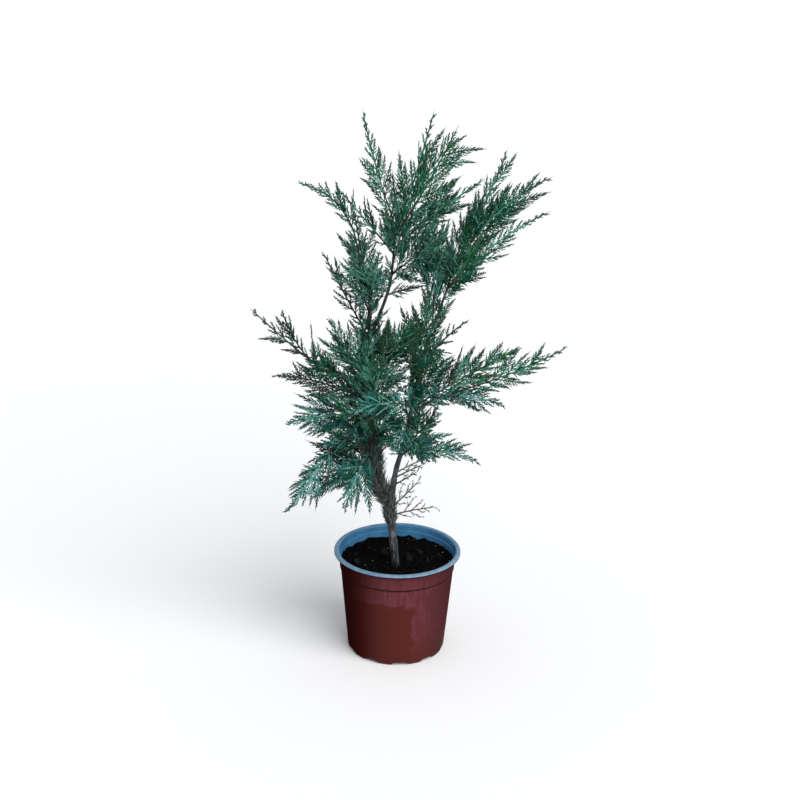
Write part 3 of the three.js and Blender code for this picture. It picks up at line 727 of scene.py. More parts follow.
# Single side sprays that stand out of the crown's outline
SIDE_SPRAYS: dict[Region, tuple[TwigRow, ...]] = {
    Region.CROWN: (
        TwigRow("spray_top_right", 0.58, (52, 3, 720), 0.28, 80),
        TwigRow("spray_top_right", 0.56, (18, 5, 702), 0.28, 80),
        TwigRow("spray_top_right", 0.25, (-7, 1, 691), 0.28, 80),
        TwigRow("spray_top_right", 0.39, (9, 16, 675), 0.3, 80),
        TwigRow("spray_top_right", 0.07, (-15, 11, 663), 0.3, -80, Palette.SILVERY),
        TwigRow("spray_top_front", 0.79, (78, -11, 713), 0.28, 80),
        TwigRow("spray_top_front", 0.73, (104, -17, 696), 0.26, 80, Palette.SHADED),
        TwigRow("spray_top_front", 0.64, (93, -19, 679), 0.28, 80),
        TwigRow("spray_top_left", 0.32, (-57, -3, 654), 0.3, -80, Palette.SILVERY),
        TwigRow("spray_top_left", 0.49, (-30, -2, 693), 0.2, -80, Palette.SHADED),
        TwigRow("spray_crown_right", 0.34, (73, 8, 640), 0.3, 80, Palette.SILVERY),
        TwigRow("spray_crown_right", 0.47, (92, 10, 619), 0.3, 80, Palette.SILVERY),
        TwigRow("spray_crown_right", 0.3, (70, 30, 648), 0.3, 80, Palette.SILVERY),
        TwigRow("spray_crown_left", 0.5, (-50, 24, 626), 0.28, -80),
        TwigRow("spray_crown_left", 0.36, (-47, 44, 618), 0.3, -80, Palette.SHADED),
        TwigRow("leader", 0.42, (33, 6, 511), 0.3, 80, Palette.SHADED),
    ),
    Region.RIGHT_HEAD: (
        TwigRow("spray_right_tall", 0.68, (142, 3, 690), 0.28, 80),
        TwigRow("spray_right_high", 0.71, (169, -26, 672), 0.28, 80, Palette.FRESH),
        TwigRow("spray_right_high", 0.54, (186, -27, 647), 0.26, 80, Palette.SHADED),
        TwigRow("spray_right_high", 0.42, (160, -4, 621), 0.3, 80),
        TwigRow("spray_right_high", 0.4, (133, -20, 657), 0.36, 80),
        TwigRow("right_stem", 0.78, (70, 0, 498), 0.32, 80),
    ),
    Region.LEFT_HEAD: (
        TwigRow("spray_left_tall", 0.5, (-98, -19, 654), 0.26, -80),
        TwigRow("spray_left_tall", 0.29, (-85, -2, 650), 0.3, -80),
        TwigRow("spray_left_tall", 0.12, (-62, -8, 643), 0.28, 80),
        TwigRow("spray_left_tall", 0.2, (-75, -20, 641), 0.3, -80),
        TwigRow("spray_left_side", 0.55, (-89, 66, 533), 0.3, -60, Palette.SHADED),
        TwigRow("left_stem", 0.74, (-70, 0, 572), 0.28, -80),
        TwigRow("left_stem", 0.76, (-24, -10, 546), 0.22, 80, Palette.SILVERY),
    ),
    Region.LEFT_SIDE: (
        TwigRow("spray_left_reach", 0.34, (-186, -13, 441), 0.26, -80, Palette.SHADED),
        TwigRow("spray_left_reach", 0.1, (-157, -4, 424), 0.26, -80, Palette.SHADED),
        TwigRow("spray_left_spike", 0.42, (-166, 30, 461), 0.34, -80, Palette.SHADED),
        TwigRow("spray_left_spike", 0.5, (-147, 30, 462), 0.34, -80, Palette.SHADED),
        TwigRow("bough_left", 0.92, (-116, -11, 468), 0.1, -80, Palette.SHADED),
        TwigRow("spray_left_dark", 0.67, (-143, 44, 392), 0.3, -80, Palette.SHADED),
        TwigRow("spray_left_spire", 0.3, (-89, -20, 456), 0.44, 60, Palette.SILVERY),
        TwigRow("spray_mid_cross", 0.4, (24, -50, 501), 0.4, 60),
    ),
    Region.LOW_LEFT: (
        TwigRow("spray_low_left", 0.3, (-132, -43, 263), 0.44, -80, Palette.BLUISH),
        TwigRow("spray_low_hang", 0.8, (-101, -18, 221), 0.3, -80, Palette.SHADED),
        TwigRow("spray_low_front", 0.5, (-69, -60, 247), 0.6, -60, Palette.BLUISH),
    ),
    Region.RIGHT_SIDE: (
        TwigRow("spray_low_right", 0.17, (77, -19, 312), 0.27, 80),
        TwigRow("spray_low_right", 0.07, (49, -21, 275), 0.55, 80, Palette.BLUISH),
        TwigRow("spray_low_right", 0.31, (92, -7, 287), 0.3, 80),
        TwigRow("spray_low_right_up", 0.39, (51, 15, 318), 0.34, 80),
        TwigRow("spray_low_right_up", 0.55, (52, 24, 342), 0.4, 80),
        TwigRow("right_stem", 0.22, (-20, -20, 324), 0.5, -70),
        TwigRow("left_stem", 0.3, (-4, -20, 292), 0.5, 70),
        TwigRow("spray_right_upper", 0.65, (135, 33, 430), 0.36, 80, Palette.FRESH),
        TwigRow("spray_right_upper", 0.51, (111, 20, 426), 0.28, 80, Palette.FRESH),
        TwigRow("spray_right_upper", 0.32, (82, 21, 429), 0.16, 80, Palette.SHADED),
        TwigRow("spray_right_upper", 0.72, (162, 50, 414), 0.36, 80, Palette.FRESH),
        TwigRow("spray_right_long", 0.61, (186, -15, 446), 0.28, 80),
        TwigRow("spray_right_long", 0.46, (185, -10, 406), 0.28, 80),
        TwigRow("spray_right_long", 0.2, (144, -12, 377), 0.28, 80, Palette.BLUISH),
    ),
}
DRY_TWIGS: dict[str, TwigRow] = {
    "twig_dry_low": TwigRow("trunk", 0.82, (53, -22, 214), 0.36, 70),
    "twig_dry_high": TwigRow("trunk", 0.92, (30, -14, 252), 0.34, 70),
}
# Smaller bare twigs on the foot of the right stem
BARE_TWIGS: tuple[TwigRow, ...] = (
    TwigRow("right_stem", 0.1, (28, -16, 264), 0.2, 60),
    TwigRow("right_stem", 0.13, (38, 4, 266), 0.24, 60),
    TwigRow("right_stem", 0.15, (44, 10, 274), 0.2, 60),
)


# ---- Limbs ----


@dataclass
class LimbLine:
    """The middle line of a limb, as closely spaced points with their distance from the foot, and its radius
    at foot and tip. A trunk also flares at the ground."""

    points: Array
    runs: Array
    radii: tuple[float, float]
    flare: float = 0.0
    # Shares of the length: what the flare takes, and how far on both sides of a place its heading is measured
    flare_share: float = 0.2
    heading_step: float = 0.01

    def place(self, share: float | Array) -> Array:
        """The point, or points, at a share of the length."""
        run = np.asarray(share) * self.runs[-1]
        return np.stack([np.interp(run, self.runs, axis) for axis in self.points.T], -1)

    def heading(self, share: float | Array) -> Array:
        """The direction of growth at a share of the length."""
        behind, ahead = np.maximum(share - self.heading_step, 0), np.minimum(share + self.heading_step, 1)
        return unit(self.place(ahead) - self.place(behind))

    def radius(self, share: float | Array) -> Array:
        """The radius, with the flare at the ground.

        Args:
            share: Share of the length.

        Returns:
            Radius in millimetres.
        """
        share = np.asarray(share)
        foot, tip = self.radii
        flare = self.flare * np.maximum(0, 1 - share / self.flare_share) ** 2
        return foot + (tip - foot) * share + flare


def smooth_line(knots: Array) -> Array:
    """A centripetal Catmull-Rom curve, the one that the source draws its limbs on.

    Args:
        knots: The points that it passes through.

    Returns:
        Points along the curve.
    """
    ends = np.vstack([2 * knots[0] - knots[1], knots, 2 * knots[-1] - knots[-2]])
    line = []
    for p0, p1, p2, p3 in zip(ends, ends[1:], ends[2:], ends[3:]):
        d0, d1, d2 = (np.linalg.norm(b - a) ** 0.5 for a, b in ((p0, p1), (p1, p2), (p2, p3)))
        out = ((p1 - p0) / d0 - (p2 - p0) / (d0 + d1) + (p2 - p1) / d1) * d1
        into = ((p2 - p1) / d1 - (p3 - p1) / (d1 + d2) + (p3 - p2) / d2) * d1
        t = np.linspace(0, 1, LINE_STEPS, endpoint=False)[:, None]
        line.append(
            p1 + out * t + (3 * (p2 - p1) - 2 * out - into) * t**2 + (2 * (p1 - p2) + out + into) * t**3
        )
    return np.vstack([*line, knots[-1:]])


def line_through(points: Array, radii: tuple[float, float], flare: float = 0.0) -> LimbLine:
    """Measures a line along its points.

    Args:
        points: Closely spaced points from foot to tip.
        radii: The limb's radius at foot and tip.
        flare: Its flare at the ground.

    Returns:
        The line.
    """
    steps = np.linalg.norm(np.diff(points, axis=0), axis=1)
    return LimbLine(points, np.concatenate([[0.0], np.cumsum(steps)]), radii, flare)


def lay_out_limbs() -> dict[str, LimbLine]:
    """Works out the middle line of every limb in the table.

    Returns:
        The lines by limb name.
    """
    lines: dict[str, LimbLine] = {}
    for name, row in LIMBS.items():
        foot = lines[row.start[0]].place(row.start[1]) if isinstance(row.start[0], str) else row.start
        knots = np.array([foot, *row.through], float)
        lines[name] = line_through(smooth_line(knots), row.radii, row.flare)
    return lines


@dataclass
class BarkedLimbs:
    """Trunk, stems and boughs as skins with the relief of stringy bark."""

    lines: dict[str, LimbLine]
    step: float = 1.3
    fewest_rings: int = 6
    stem_sides: int = 30
    bough_sides: int = 14
    # Strips of bark: their width across and length along the stem, and how far they stand out
    strip_width: float = 2.2
    strip_length: float = 15.0
    strip_relief: float = 0.75
    # Flakes on them: how many times finer they are across, the same for the rest, and a shift of their noise
    flake_fineness: float = 2.3
    flake_length: float = 4.5
    flake_relief: float = 0.3
    flake_shift: tuple[float, float] = (7.0, 3.0)
    full_relief_radius: float = 5.0
    # Swelling where a limb leaves another
    collar: float = 0.3
    collar_length: float = 9.0
    voxel: float = 0.95

    def relief(self, angle: float, run: float, radius: float) -> float:
        """How far the bark stands out from a limb's mean surface.

        Args:
            angle: Angle round the limb.
            run: Distance along it.
            radius: Its radius there.

        Returns:
            Height in millimetres.
        """
        across = Vector((math.cos(angle), math.sin(angle), 0)) * radius / self.strip_width
        strips = noise.noise(across + Vector((0, 0, run / self.strip_length)))
        finer = across * self.flake_fineness
        flakes = noise.noise(finer + Vector((*self.flake_shift, run / self.flake_length)))
        share = min(1.0, radius / self.full_relief_radius)
        return share * (self.strip_relief * strips + self.flake_relief * flakes)

    def skin(self, bm: bmesh.types.BMesh, line: LimbLine, sides: int) -> None:
        """Adds one limb's skin: a ring at its foot that is extruded along its line.

        Args:
            bm: The mesh to add to.
            line: The limb's middle line.
            sides: Corners of each ring.
        """
        rings = max(self.fewest_rings, int(line.runs[-1] / self.step))
        shares = np.linspace(0, 1, rings)
        places, headings, radii = line.place(shares), line.heading(shares), line.radius(shares)
        side = unit(np.cross(headings[0], (0.0, 1.0, 0.0)))
        angles = np.linspace(0, 2 * math.pi, sides, endpoint=False)
        ring = bmesh.ops.create_circle(bm, segments=sides, radius=1, cap_ends=True)["verts"]
        edges = [edge for edge in bm.edges if edge.verts[0] in ring and edge.verts[1] in ring]
        for i in range(rings):
            if i:
                grown = bmesh.ops.extrude_edge_only(bm, edges=edges)["geom"]
                ring = [part for part in grown if isinstance(part, bmesh.types.BMVert)]
                edges = [part for part in grown if isinstance(part, bmesh.types.BMEdge)]
                edges = [edge for edge in edges if edge.verts[0] in ring and edge.verts[1] in ring]
            side = unit(side - headings[i] * side.dot(headings[i]))
            other = np.cross(headings[i], side)
            run = shares[i] * line.runs[-1]
            swell = 0 if line.flare else self.collar * max(0.0, 1 - run / self.collar_length)
            for vert, angle in zip(ring, angles):
                reach = radii[i] * (1 + swell) + self.relief(angle, run, radii[i])
                vert.co = places[i] + reach * (math.cos(angle) * side + math.sin(angle) * other)
        bmesh.ops.contextual_create(bm, geom=edges)

    def build(self) -> list[bpy.types.Object]:
        """Makes the skin of the stems, joined at their forks, and that of the boughs.

        Returns:
            The two pieces.
        """
        pieces = []
        for name, is_stem, sides in (
            ("bark_stems", True, self.stem_sides),
            ("bark_boughs", False, self.bough_sides),
        ):
            bm = bmesh.new()
            for limb, line in self.lines.items():
                if (limb in STEMS) == is_stem:
                    self.skin(bm, line, sides)
            bmesh.ops.recalc_face_normals(bm, faces=bm.faces)
            pieces.append(piece_of(name, bm))
        self.join_forks(pieces[0])
        return pieces

    def join_forks(self, stems: bpy.types.Object) -> None:
        """Makes one skin of the overlapping stems.

        Args:
            stems: The stems' piece, which gets the new mesh.
        """
        joiner = stems.modifiers.new("joined forks", "REMESH")
        joiner.mode, joiner.voxel_size, joiner.use_smooth_shade = "VOXEL", self.voxel * MM, True
        joined = stems.evaluated_get(bpy.context.evaluated_depsgraph_get())
        mesh = bpy.data.meshes.new_from_object(joined)
        stems.modifiers.clear()
        stems.data = mesh
        mesh.name = stems.name

    def dress(self, pieces: list[bpy.types.Object]) -> None:
        """Gives the limbs their bark and puts them on the frame.

        Args:
            pieces: The skin of the stems and that of the boughs.
        """
        stems, boughs = pieces
        for piece in pieces:
            piece.data.materials.append(BARK.material())
        hand_over(stems, "bark", *STEMS)
        hand_over(boughs, "bark", *(name for name in self.lines if name not in STEMS))


# ---- Foliage ----


@dataclass
class Cords:
    """Many bent cords at once. A cord's point at t, from 0 at its foot to 1, is foot + lean t + bow t²."""

    foot: Array
    lean: Array
    bow: Array
    face: Array
    radius: Array
    spread: Array
    tint: Array
    line_tint: Array
    region: Array
    at: Array

    def length(self) -> Array:
        """Distance from foot to tip."""
        return np.linalg.norm(self.lean + self.bow, axis=1)

    def place(self, t: Array) -> Array:
        """Points at t, one for each cord."""
        t = t[:, None]
        return self.foot + self.lean * t + self.bow * t**2

    def heading(self, t: Array) -> Array:
        """Directions at t, one for each cord."""
        return unit(self.lean + 2 * self.bow * t[:, None])

    def pick(self, which: Array) -> "Cords":
        """The cords at those numbers, or where a mask is true."""
        return Cords(**{name: values[which] for name, values in vars(self).items()})

    @staticmethod
    def joined(groups: list["Cords"]) -> "Cords":
        """All cords of several groups."""
        return Cords(**{name: np.concatenate([vars(g)[name] for g in groups]) for name in vars(groups[0])})


@dataclass(frozen=True)
class Fullness:
    """Length of side cords along the cord that carries them, as a share of the longest: it rises from the
    foot to the fullest place, then falls to the start of the whip, where only short ones are left."""

    fullest: float
    at_foot: float
    at_whip: float
    fall: float
    whip: float = 1.0

    def share(self, t: Array) -> Array:
        """How full the side cords are.

        Args:
            t: Places from 0, foot, to 1, tip.

        Returns:
            Shares of the longest length.
        """
        rising = self.at_foot + (1 - self.at_foot) * t / self.fullest
        past = np.clip((t - self.fullest) / (self.whip - self.fullest), 0, 1) ** self.fall
        return np.where(t < self.fullest, rising, 1 + (self.at_whip - 1) * past)


# The source's rule for sprays, and a narrower, tail-shaped one for the side sprays on them
SPRAY_FULLNESS = Fullness(0.34, 0.55, 0.1, 0.75, 0.88)
TAIL_FULLNESS = Fullness(0.2, 0.8, 0.2, 0.8, 0.85)


@dataclass(frozen=True)
class ForkRule:
    """How cords branch from the cord that carries them, left and right in turn. Places run from 0 at a
    cord's foot to 1 at its tip, and angles are in degrees."""

    spacing: float
    first: float
    last: float
    angle: float
    angle_at_tip: float
    angle_spread: float
    twist_spread: float
    shortest: float
    longest: float
    radius: float
    spread: float
    sweep: float
    lift: float
    fullness: Fullness
    length_spread: float = 0.22
    fewest: int = 2
    # Where a cord may stand between its neighbours, and how much thinner it is at its carrier's tip
    wander: tuple[float, float] = (0.15, 0.85)
    thinning: float = 0.15

    def grow(self, parents: Cords, rng: np.random.Generator, fill: float = 1.0) -> Cords:
        """Grows the next order of cords.

        Args:
            parents: The cords that carry them.
            rng: The source of random numbers.
            fill: How many times as closely they stand.

        Returns:
            The new cords.
        """
        lengths = parents.length()
        count = (lengths * (self.last - self.first) * fill / self.spacing).astype(int)
        count = np.maximum(self.fewest, count)
        which = np.repeat(np.arange(len(count)), count)
        rank = np.arange(len(which)) - np.repeat(np.cumsum(count) - count, count)
        wander = rng.uniform(*self.wander, len(which))
        t = self.first + (self.last - self.first) * (rank + wander) / count[which]
        carrier = parents.pick(which)
        heading = carrier.heading(t)
        hand = np.where(rank % 2, 1.0, -1.0)[:, None]
        side = unit(np.cross(carrier.face, heading)) * hand
        twist = np.radians(rng.uniform(-self.twist_spread, self.twist_spread, len(which)))
        side = turned_about(side, heading, twist)
        angle = self.angle + (self.angle_at_tip - self.angle) * t
        angle = np.radians(angle + rng.uniform(-self.angle_spread, self.angle_spread, len(which)))[:, None]
        along = heading * np.cos(angle) + side * np.sin(angle)
        length = lengths[which] * carrier.spread * self.fullness.share(t)
        length = length * (1 + rng.uniform(-self.length_spread, self.length_spread, len(which)))
        length = np.clip(length, self.shortest, self.longest)[:, None]
        bow = ((heading - along) * self.sweep + UP * self.lift) * length
        return Cords(
            foot=carrier.place(t),
            lean=along * length - bow * BOW_BACK,
            bow=bow,
            face=unit(np.cross(heading, side) * hand),
            radius=np.full(len(which), self.radius) * (1 - self.thinning + self.thinning * (1 - t)),
            spread=np.full(len(which), self.spread),
            tint=carrier.tint,
            line_tint=carrier.line_tint,
            region=carrier.region,
            at=t,
        )


@dataclass(frozen=True)
class CordShape:
    """The outline of a cord, tiled with scale leaves: places along it with its width there as a share of its
    radius. It ends in a point. Below wood_to it is bare brown wood, and above worn_from it is worn."""

    rings: tuple[tuple[float, float], ...]
    sides: int = 3
    flatness: float = 0.7
    wood_to: float = 0.0
    worn_from: float = 2.0

    def mesh(self, cords: Cords, tint: Array) -> tuple[Array, Array, Array]:
        """Makes the mesh of many cords.

        Args:
            cords: The cords.
            tint: Tint number of each.

        Returns:
            Vertices, triangles and the tint of each triangle.
        """
        count, sides, rings = len(cords.foot), self.sides, len(self.rings)
        angles = np.linspace(0, 2 * math.pi, sides, endpoint=False)
        blocks = []
        for place, width in self.rings:
            t = np.full(count, place)
            heading = cords.heading(t)
            across = unit(np.cross(cords.face, heading))
            thick = np.cross(heading, across) * self.flatness
            reach = (cords.radius * width)[:, None]
            middle = cords.place(t)
            blocks += [middle + reach * (math.cos(a) * across + math.sin(a) * thick) for a in angles]
        places = np.stack([*blocks, cords.place(np.ones(count))], 1).reshape(-1, 3)
        corners, heights = [], []
        for k in range(1, sides - 1):
            corners.append((0, k + 1, k))
            heights.append(0.0)
        for ring in range(rings):
            for k in range(sides):
                a, b = ring * sides + k, ring * sides + (k + 1) % sides
                if ring < rings - 1:
                    faces = [(a, b, b + sides), (a, b + sides, a + sides)]
                else:
                    faces = [(a, b, rings * sides)]
                corners += faces
                heights += [self.rings[ring][0]] * len(faces)
        step = rings * sides + 1
        triangles = (np.array(corners)[None] + step * np.arange(count)[:, None, None]).reshape(-1, 3)
        heights = np.array(heights)[None]
        shades = np.where(heights < self.wood_to, Tint.WOOD.number, tint[:, None])
        shades = np.where(heights > self.worn_from, Tint.WORN.number, shades).reshape(-1)
        return places, triangles, shades


@dataclass(frozen=True)
class ShootRule:
    """Short shoots or dead scales that stand out from a limb all round, between two shares of its length."""

    limb: str
    first: float
    last: float
    count: int
    lengths: tuple[float, float]
    angles: tuple[float, float]
    palette: Palette = Palette.SHADED
    region: Region = Region.MIDDLE
    radius: float = 0.85
    spread: float = 0.4
    # How much they turn up, and how deep they root in the limb
    upturn: float = 0.18
    rooted: float = 0.6

    def grow(self, line: LimbLine, rng: np.random.Generator) -> Cords:
        """Grows the shoots.

        Args:
            line: The limb's middle line.
            rng: The source of random numbers.

        Returns:
            The shoots as cords.
        """
        share = np.sort(rng.uniform(self.first, self.last, self.count))
        heading = line.heading(share)
        outward = unit(np.cross(heading, rng.normal(size=(self.count, 3))))
        angle = np.radians(rng.uniform(*self.angles, self.count))[:, None]
        along = heading * np.cos(angle) + outward * np.sin(angle)
        length = rng.uniform(*self.lengths, self.count)[:, None]
        bow = (UP - along) * self.upturn * length
        return Cords(
            foot=line.place(share) + outward * self.rooted * line.radius(share)[:, None],
            lean=along * length - BOW_BACK * bow,
            bow=bow,
            face=unit(np.cross(along, rng.normal(size=(self.count, 3)))),
            radius=np.full(self.count, self.radius),
            spread=np.full(self.count, self.spread),
            tint=self.palette.deal(False, self.count, rng),
            line_tint=self.palette.deal(True, self.count, rng),
            region=np.full(self.count, self.region.number),
            at=share,
        )


def spray_axes(
    rows: list[tuple[TwigRow, Region]], lines: dict[str, LimbLine], rng: np.random.Generator
) -> Cords:
    """Draws the axis of each spray from what carries it to its tip, by the source's rule.

    Args:
        rows: The sprays with their parts of the crown.
        lines: Middle lines of what carries them.
        rng: The source of random numbers.

    Returns:
        The axes: bowed up where they hang, and down where they climb.
    """
    bow_level, bow_by_slope, twig_radius, twig_share = 0.07, 0.12, 1.25, 0.9
    # The fine side sprays reach past the solids' toothed blades
    side_reach = 1.12
    foot = np.array([lines[row.on].place(row.at) for row, _ in rows])
    tip = np.array([row.tip for row, _ in rows], float)
    chord = tip - foot
    length = np.linalg.norm(chord, axis=1, keepdims=True)
    slope = chord[:, 2:] / length
    square = UP - chord * slope / length
    arch = np.array([[row.arch] for row, _ in rows])
    middle = (foot + tip) / 2 + square * 2 * length * (bow_level - bow_by_slope * slope + arch)
    heading = unit(chord)
    flat_side = unit(np.cross(np.broadcast_to(UP, heading.shape), heading))
    side = turned_about(flat_side, heading, np.radians([row.turn for row, _ in rows]))
    return Cords(
        foot=foot,
        lean=2 * (middle - foot),
        bow=tip - 2 * middle + foot,
        face=np.cross(heading, side),
        radius=np.array([min(twig_radius, twig_share * lines[r.on].radius(r.at)) for r, _ in rows]),
        spread=np.array([side_reach * row.width for row, _ in rows]),
        tint=np.concatenate([row.palette.deal(False, 1, rng) for row, _ in rows]),
        line_tint=np.concatenate([row.palette.deal(True, 1, rng) for row, _ in rows]),
        region=np.array([region.number for _, region in rows]),
        at=np.array([float(row.at) for row, _ in rows]),
    )


@dataclass
class SprayFoliage:
    """All living foliage: flat feathery sprays in four orders of cords, the finer ones cordlets that are
    tiled with scale leaves."""

    lines: dict[str, LimbLine]
    # Side sprays on the axis of a spray
    branchlets: ForkRule = ForkRule(
        spacing=6.4, first=0.05, last=0.93, angle=38, angle_at_tip=17, angle_spread=8, twist_spread=30,
        shortest=8, longest=84, radius=0.95, spread=0.28, sweep=0.2, lift=0.03, fullness=SPRAY_FULLNESS,
        length_spread=0.42,
    )
    # Cordlets on a side spray
    cordlets: ForkRule = ForkRule(
        spacing=1.9, first=0.06, last=0.85, angle=42, angle_at_tip=18, angle_spread=7, twist_spread=34,
        shortest=3.5, longest=20, radius=0.84, spread=0.36, sweep=0.18, lift=0.02, fullness=TAIL_FULLNESS,
    )
    # Last and finest cordlets
    tips: ForkRule = ForkRule(
        spacing=4.4, first=0.18, last=0.66, angle=32, angle_at_tip=24, angle_spread=6, twist_spread=32,
        shortest=4, longest=9, radius=0.78, spread=0.0, sweep=0.14, lift=0.0, fullness=TAIL_FULLNESS,
        fewest=1,
    )
    forked_length: float = 9.0
    # Short cordlets towards the tip of an axis, where it runs out in a whip, and their share of its length
    whip: ForkRule = ForkRule(
        spacing=4.4, first=0.56, last=0.92, angle=30, angle_at_tip=14, angle_spread=6, twist_spread=40,
        shortest=4, longest=12, radius=1.0, spread=0.36, sweep=0.16, lift=0.02, fullness=TAIL_FULLNESS,
    )
    whip_spread: float = 0.07
    axis_shape: CordShape = CordShape(
        ((0.0, 1.0), (0.15, 0.95), (0.3, 0.95), (0.45, 0.92), (0.6, 0.95), (0.75, 0.9), (0.9, 0.66)),
        sides=5, flatness=1.0, wood_to=0.3, worn_from=0.7,
    )
    branchlet_shape: CordShape = CordShape(
        ((0.0, 1.0), (0.2, 0.8), (0.35, 1.0), (0.55, 0.75), (0.7, 0.85), (0.88, 0.5)), sides=4, worn_from=0.5,
    )
    cordlet_shape: CordShape = CordShape(((0.0, 0.9), (0.42, 1.02), (0.8, 0.72)))
    tip_shape: CordShape = CordShape(((0.0, 0.85), (0.55, 0.95)))
    # Shares of the way along an axis below which its side sprays may be shaded, and along a side spray above
    # which its cordlets may be worn, with the most that are
    shaded_to: float = 0.5
    most_shaded: float = 0.55
    worn_from: float = 0.62
    most_worn: float = 0.55
    # Radius of an axis at its foot and tip, where it carries single side sprays
    carrier_radii: tuple[float, float] = (1.3, 1.1)
    # Shares of the cordlets of a living spray that are darker than the rest, and paler with bloom
    mixed: float = 0.4
    bloomed: float = 0.15
    living: tuple[Tint, ...] = (Tint.DEEP, Tint.GREEN, Tint.TEAL, Tint.FRESH, Tint.SILVER, Tint.PALE)
    # Small side sprays that stand on the stems and boughs themselves
    shoot_rules: tuple[ShootRule, ...] = (
        ShootRule("left_stem", 0.14, 0.3, 50, (18, 40), (24, 60), Palette.BLUISH, Region.LOW_LEFT),
        ShootRule("left_stem", 0.16, 0.5, 60, (22, 46), (24, 58), Palette.SHADED, Region.LOW_LEFT),
        ShootRule("left_stem", 0.3, 0.92, 70, (20, 44), (22, 50), Palette.GREEN, Region.LEFT_HEAD),
        ShootRule("left_stem", 0.46, 0.62, 18, (14, 28), (22, 54), Palette.GREEN, Region.LEFT_HEAD),
        ShootRule("right_stem", 0.24, 0.5, 40, (18, 40), (26, 60), Palette.GREEN, Region.MIDDLE),
        ShootRule("right_stem", 0.55, 0.8, 30, (14, 28), (20, 46), Palette.GREEN, Region.RIGHT_HEAD),
        ShootRule("leader", 0.5, 0.72, 8, (12, 24), (24, 50), Palette.SILVERY, Region.CROWN),
        ShootRule("leader", 0.76, 0.97, 24, (22, 46), (20, 46), Palette.SILVERY, Region.CROWN),
        ShootRule("bough_left", 0.2, 0.9, 32, (18, 40), (26, 58), Palette.GREEN, Region.LEFT_SIDE),
        ShootRule("bough_right", 0.35, 0.98, 20, (18, 36), (26, 58), Palette.BLUISH, Region.RIGHT_SIDE),
        ShootRule("bough_low_left", 0.1, 0.98, 26, (18, 38), (26, 58), Palette.BLUISH, Region.LOW_LEFT),
        ShootRule("bough_low_right", 0.1, 1.0, 26, (16, 34), (26, 64), Palette.BLUISH, Region.RIGHT_SIDE),
        ShootRule("bough_low_right", 0.5, 1.0, 36, (18, 36), (24, 64), Palette.BLUISH, Region.RIGHT_SIDE),
        ShootRule("bough_front", 0.1, 0.98, 30, (18, 40), (26, 58), Palette.BLUISH, Region.MIDDLE),
    )
    # Least share of its length that a cord keeps where it is drawn back
    least_kept: float = 0.3

    def recolour(
        self, cords: Cords, chance: Array, tints: tuple[Tint, ...], rng: np.random.Generator
    ) -> None:
        """Gives some cords another tint.

        Args:
            cords: The cords.
            chance: How likely each is to change.
            tints: The tints that it may take.
            rng: The source of random numbers.
        """
        changed = rng.uniform(size=len(chance)) < chance
        cords.tint[changed] = rng.choice([tint.number for tint in tints], changed.sum())

    def carrier(self, axis: Cords) -> LimbLine:
        """The axis of a spray as a line that single side sprays can stand on.

        Args:
            axis: The axis.

        Returns:
            The line.
        """
        t = np.linspace(0, 1, LINE_STEPS)[:, None]
        return line_through(axis.foot + axis.lean * t + axis.bow * t**2, self.carrier_radii)

    def draw_back(self, cords: Cords) -> Cords:
        """Shortens cords whose tips would pass the reach of the solids.

        Args:
            cords: The cords.

        Returns:
            The same cords.
        """
        tips = cords.place(np.ones(len(cords.foot)))
        over = np.maximum(np.maximum(REACH[0] - tips, tips - REACH[1]), 0)
        share = 1 - over / np.maximum(np.abs(cords.lean + cords.bow), TINY)
        share = np.clip(share.min(axis=1), self.least_kept, 1)[:, None]
        cords.lean, cords.bow = cords.lean * share, cords.bow * share
        return cords

    def spray(self, row: SprayRow, region: Region, rng: np.random.Generator) -> tuple[Cords, Cords]:
        """Grows one spray's axis and the side sprays on it, the lower ones shaded.

        Args:
            row: The spray's row.
            region: Its part of the crown.
            rng: The source of random numbers.

        Returns:
            The axis and the side sprays.
        """
        axis = spray_axes([(row, region)], self.lines, rng)
        sides = self.branchlets.grow(axis, rng, row.fill)
        sides.tint = row.palette.deal(False, len(sides.foot), rng)
        sides.line_tint = row.palette.deal(True, len(sides.foot), rng)
        shaded = self.most_shaded * np.clip(1 - sides.at / self.shaded_to, 0, 1)
        self.recolour(sides, shaded, (Tint.DARK, Tint.DEEP), rng)
        return axis, sides

    def grow(self) -> tuple[Cords, Cords, Cords, Cords]:
        """Grows all orders of cords.

        Returns:
            Axes, side sprays, cordlets and tips.
        """
        rng = np.random.default_rng(SEED)
        carriers, axes, sides = dict(self.lines), [], []
        for region, group in SPRAYS.items():
            for name, row in group.items():
                axis, branchlets = self.spray(row, region, rng)
                carriers[name] = self.carrier(axis)
                axes.append(axis)
                sides.append(branchlets)
        axes = Cords.joined(axes)
        singles = [(row, region) for region, group in SIDE_SPRAYS.items() for row in group]
        sides.append(spray_axes(singles, carriers, rng))
        sides += [rule.grow(self.lines[rule.limb], rng) for rule in self.shoot_rules]
        sides = self.draw_back(Cords.joined(sides))
        tails = replace(axes, spread=np.full(len(axes.foot), self.whip_spread))
        cordlets = self.draw_back(Cords.joined([self.cordlets.grow(sides, rng), self.whip.grow(tails, rng)]))
        living = np.isin(cordlets.tint, [tint.number for tint in self.living])
        self.recolour(cordlets, living * self.mixed, (Tint.DEEP, Tint.GREEN, Tint.DARK), rng)
        self.recolour(cordlets, living * self.bloomed, (Tint.SILVER, Tint.PALE), rng)
        worn = self.most_worn * np.clip((cordlets.at - self.worn_from) / (1 - self.worn_from), 0, 1)
        self.recolour(cordlets, worn, (Tint.WORN, Tint.OLIVE, Tint.DEEP), rng)
        forked = cordlets.pick(cordlets.length() > self.forked_length)
        return axes, sides, cordlets, self.tips.grow(forked, rng)

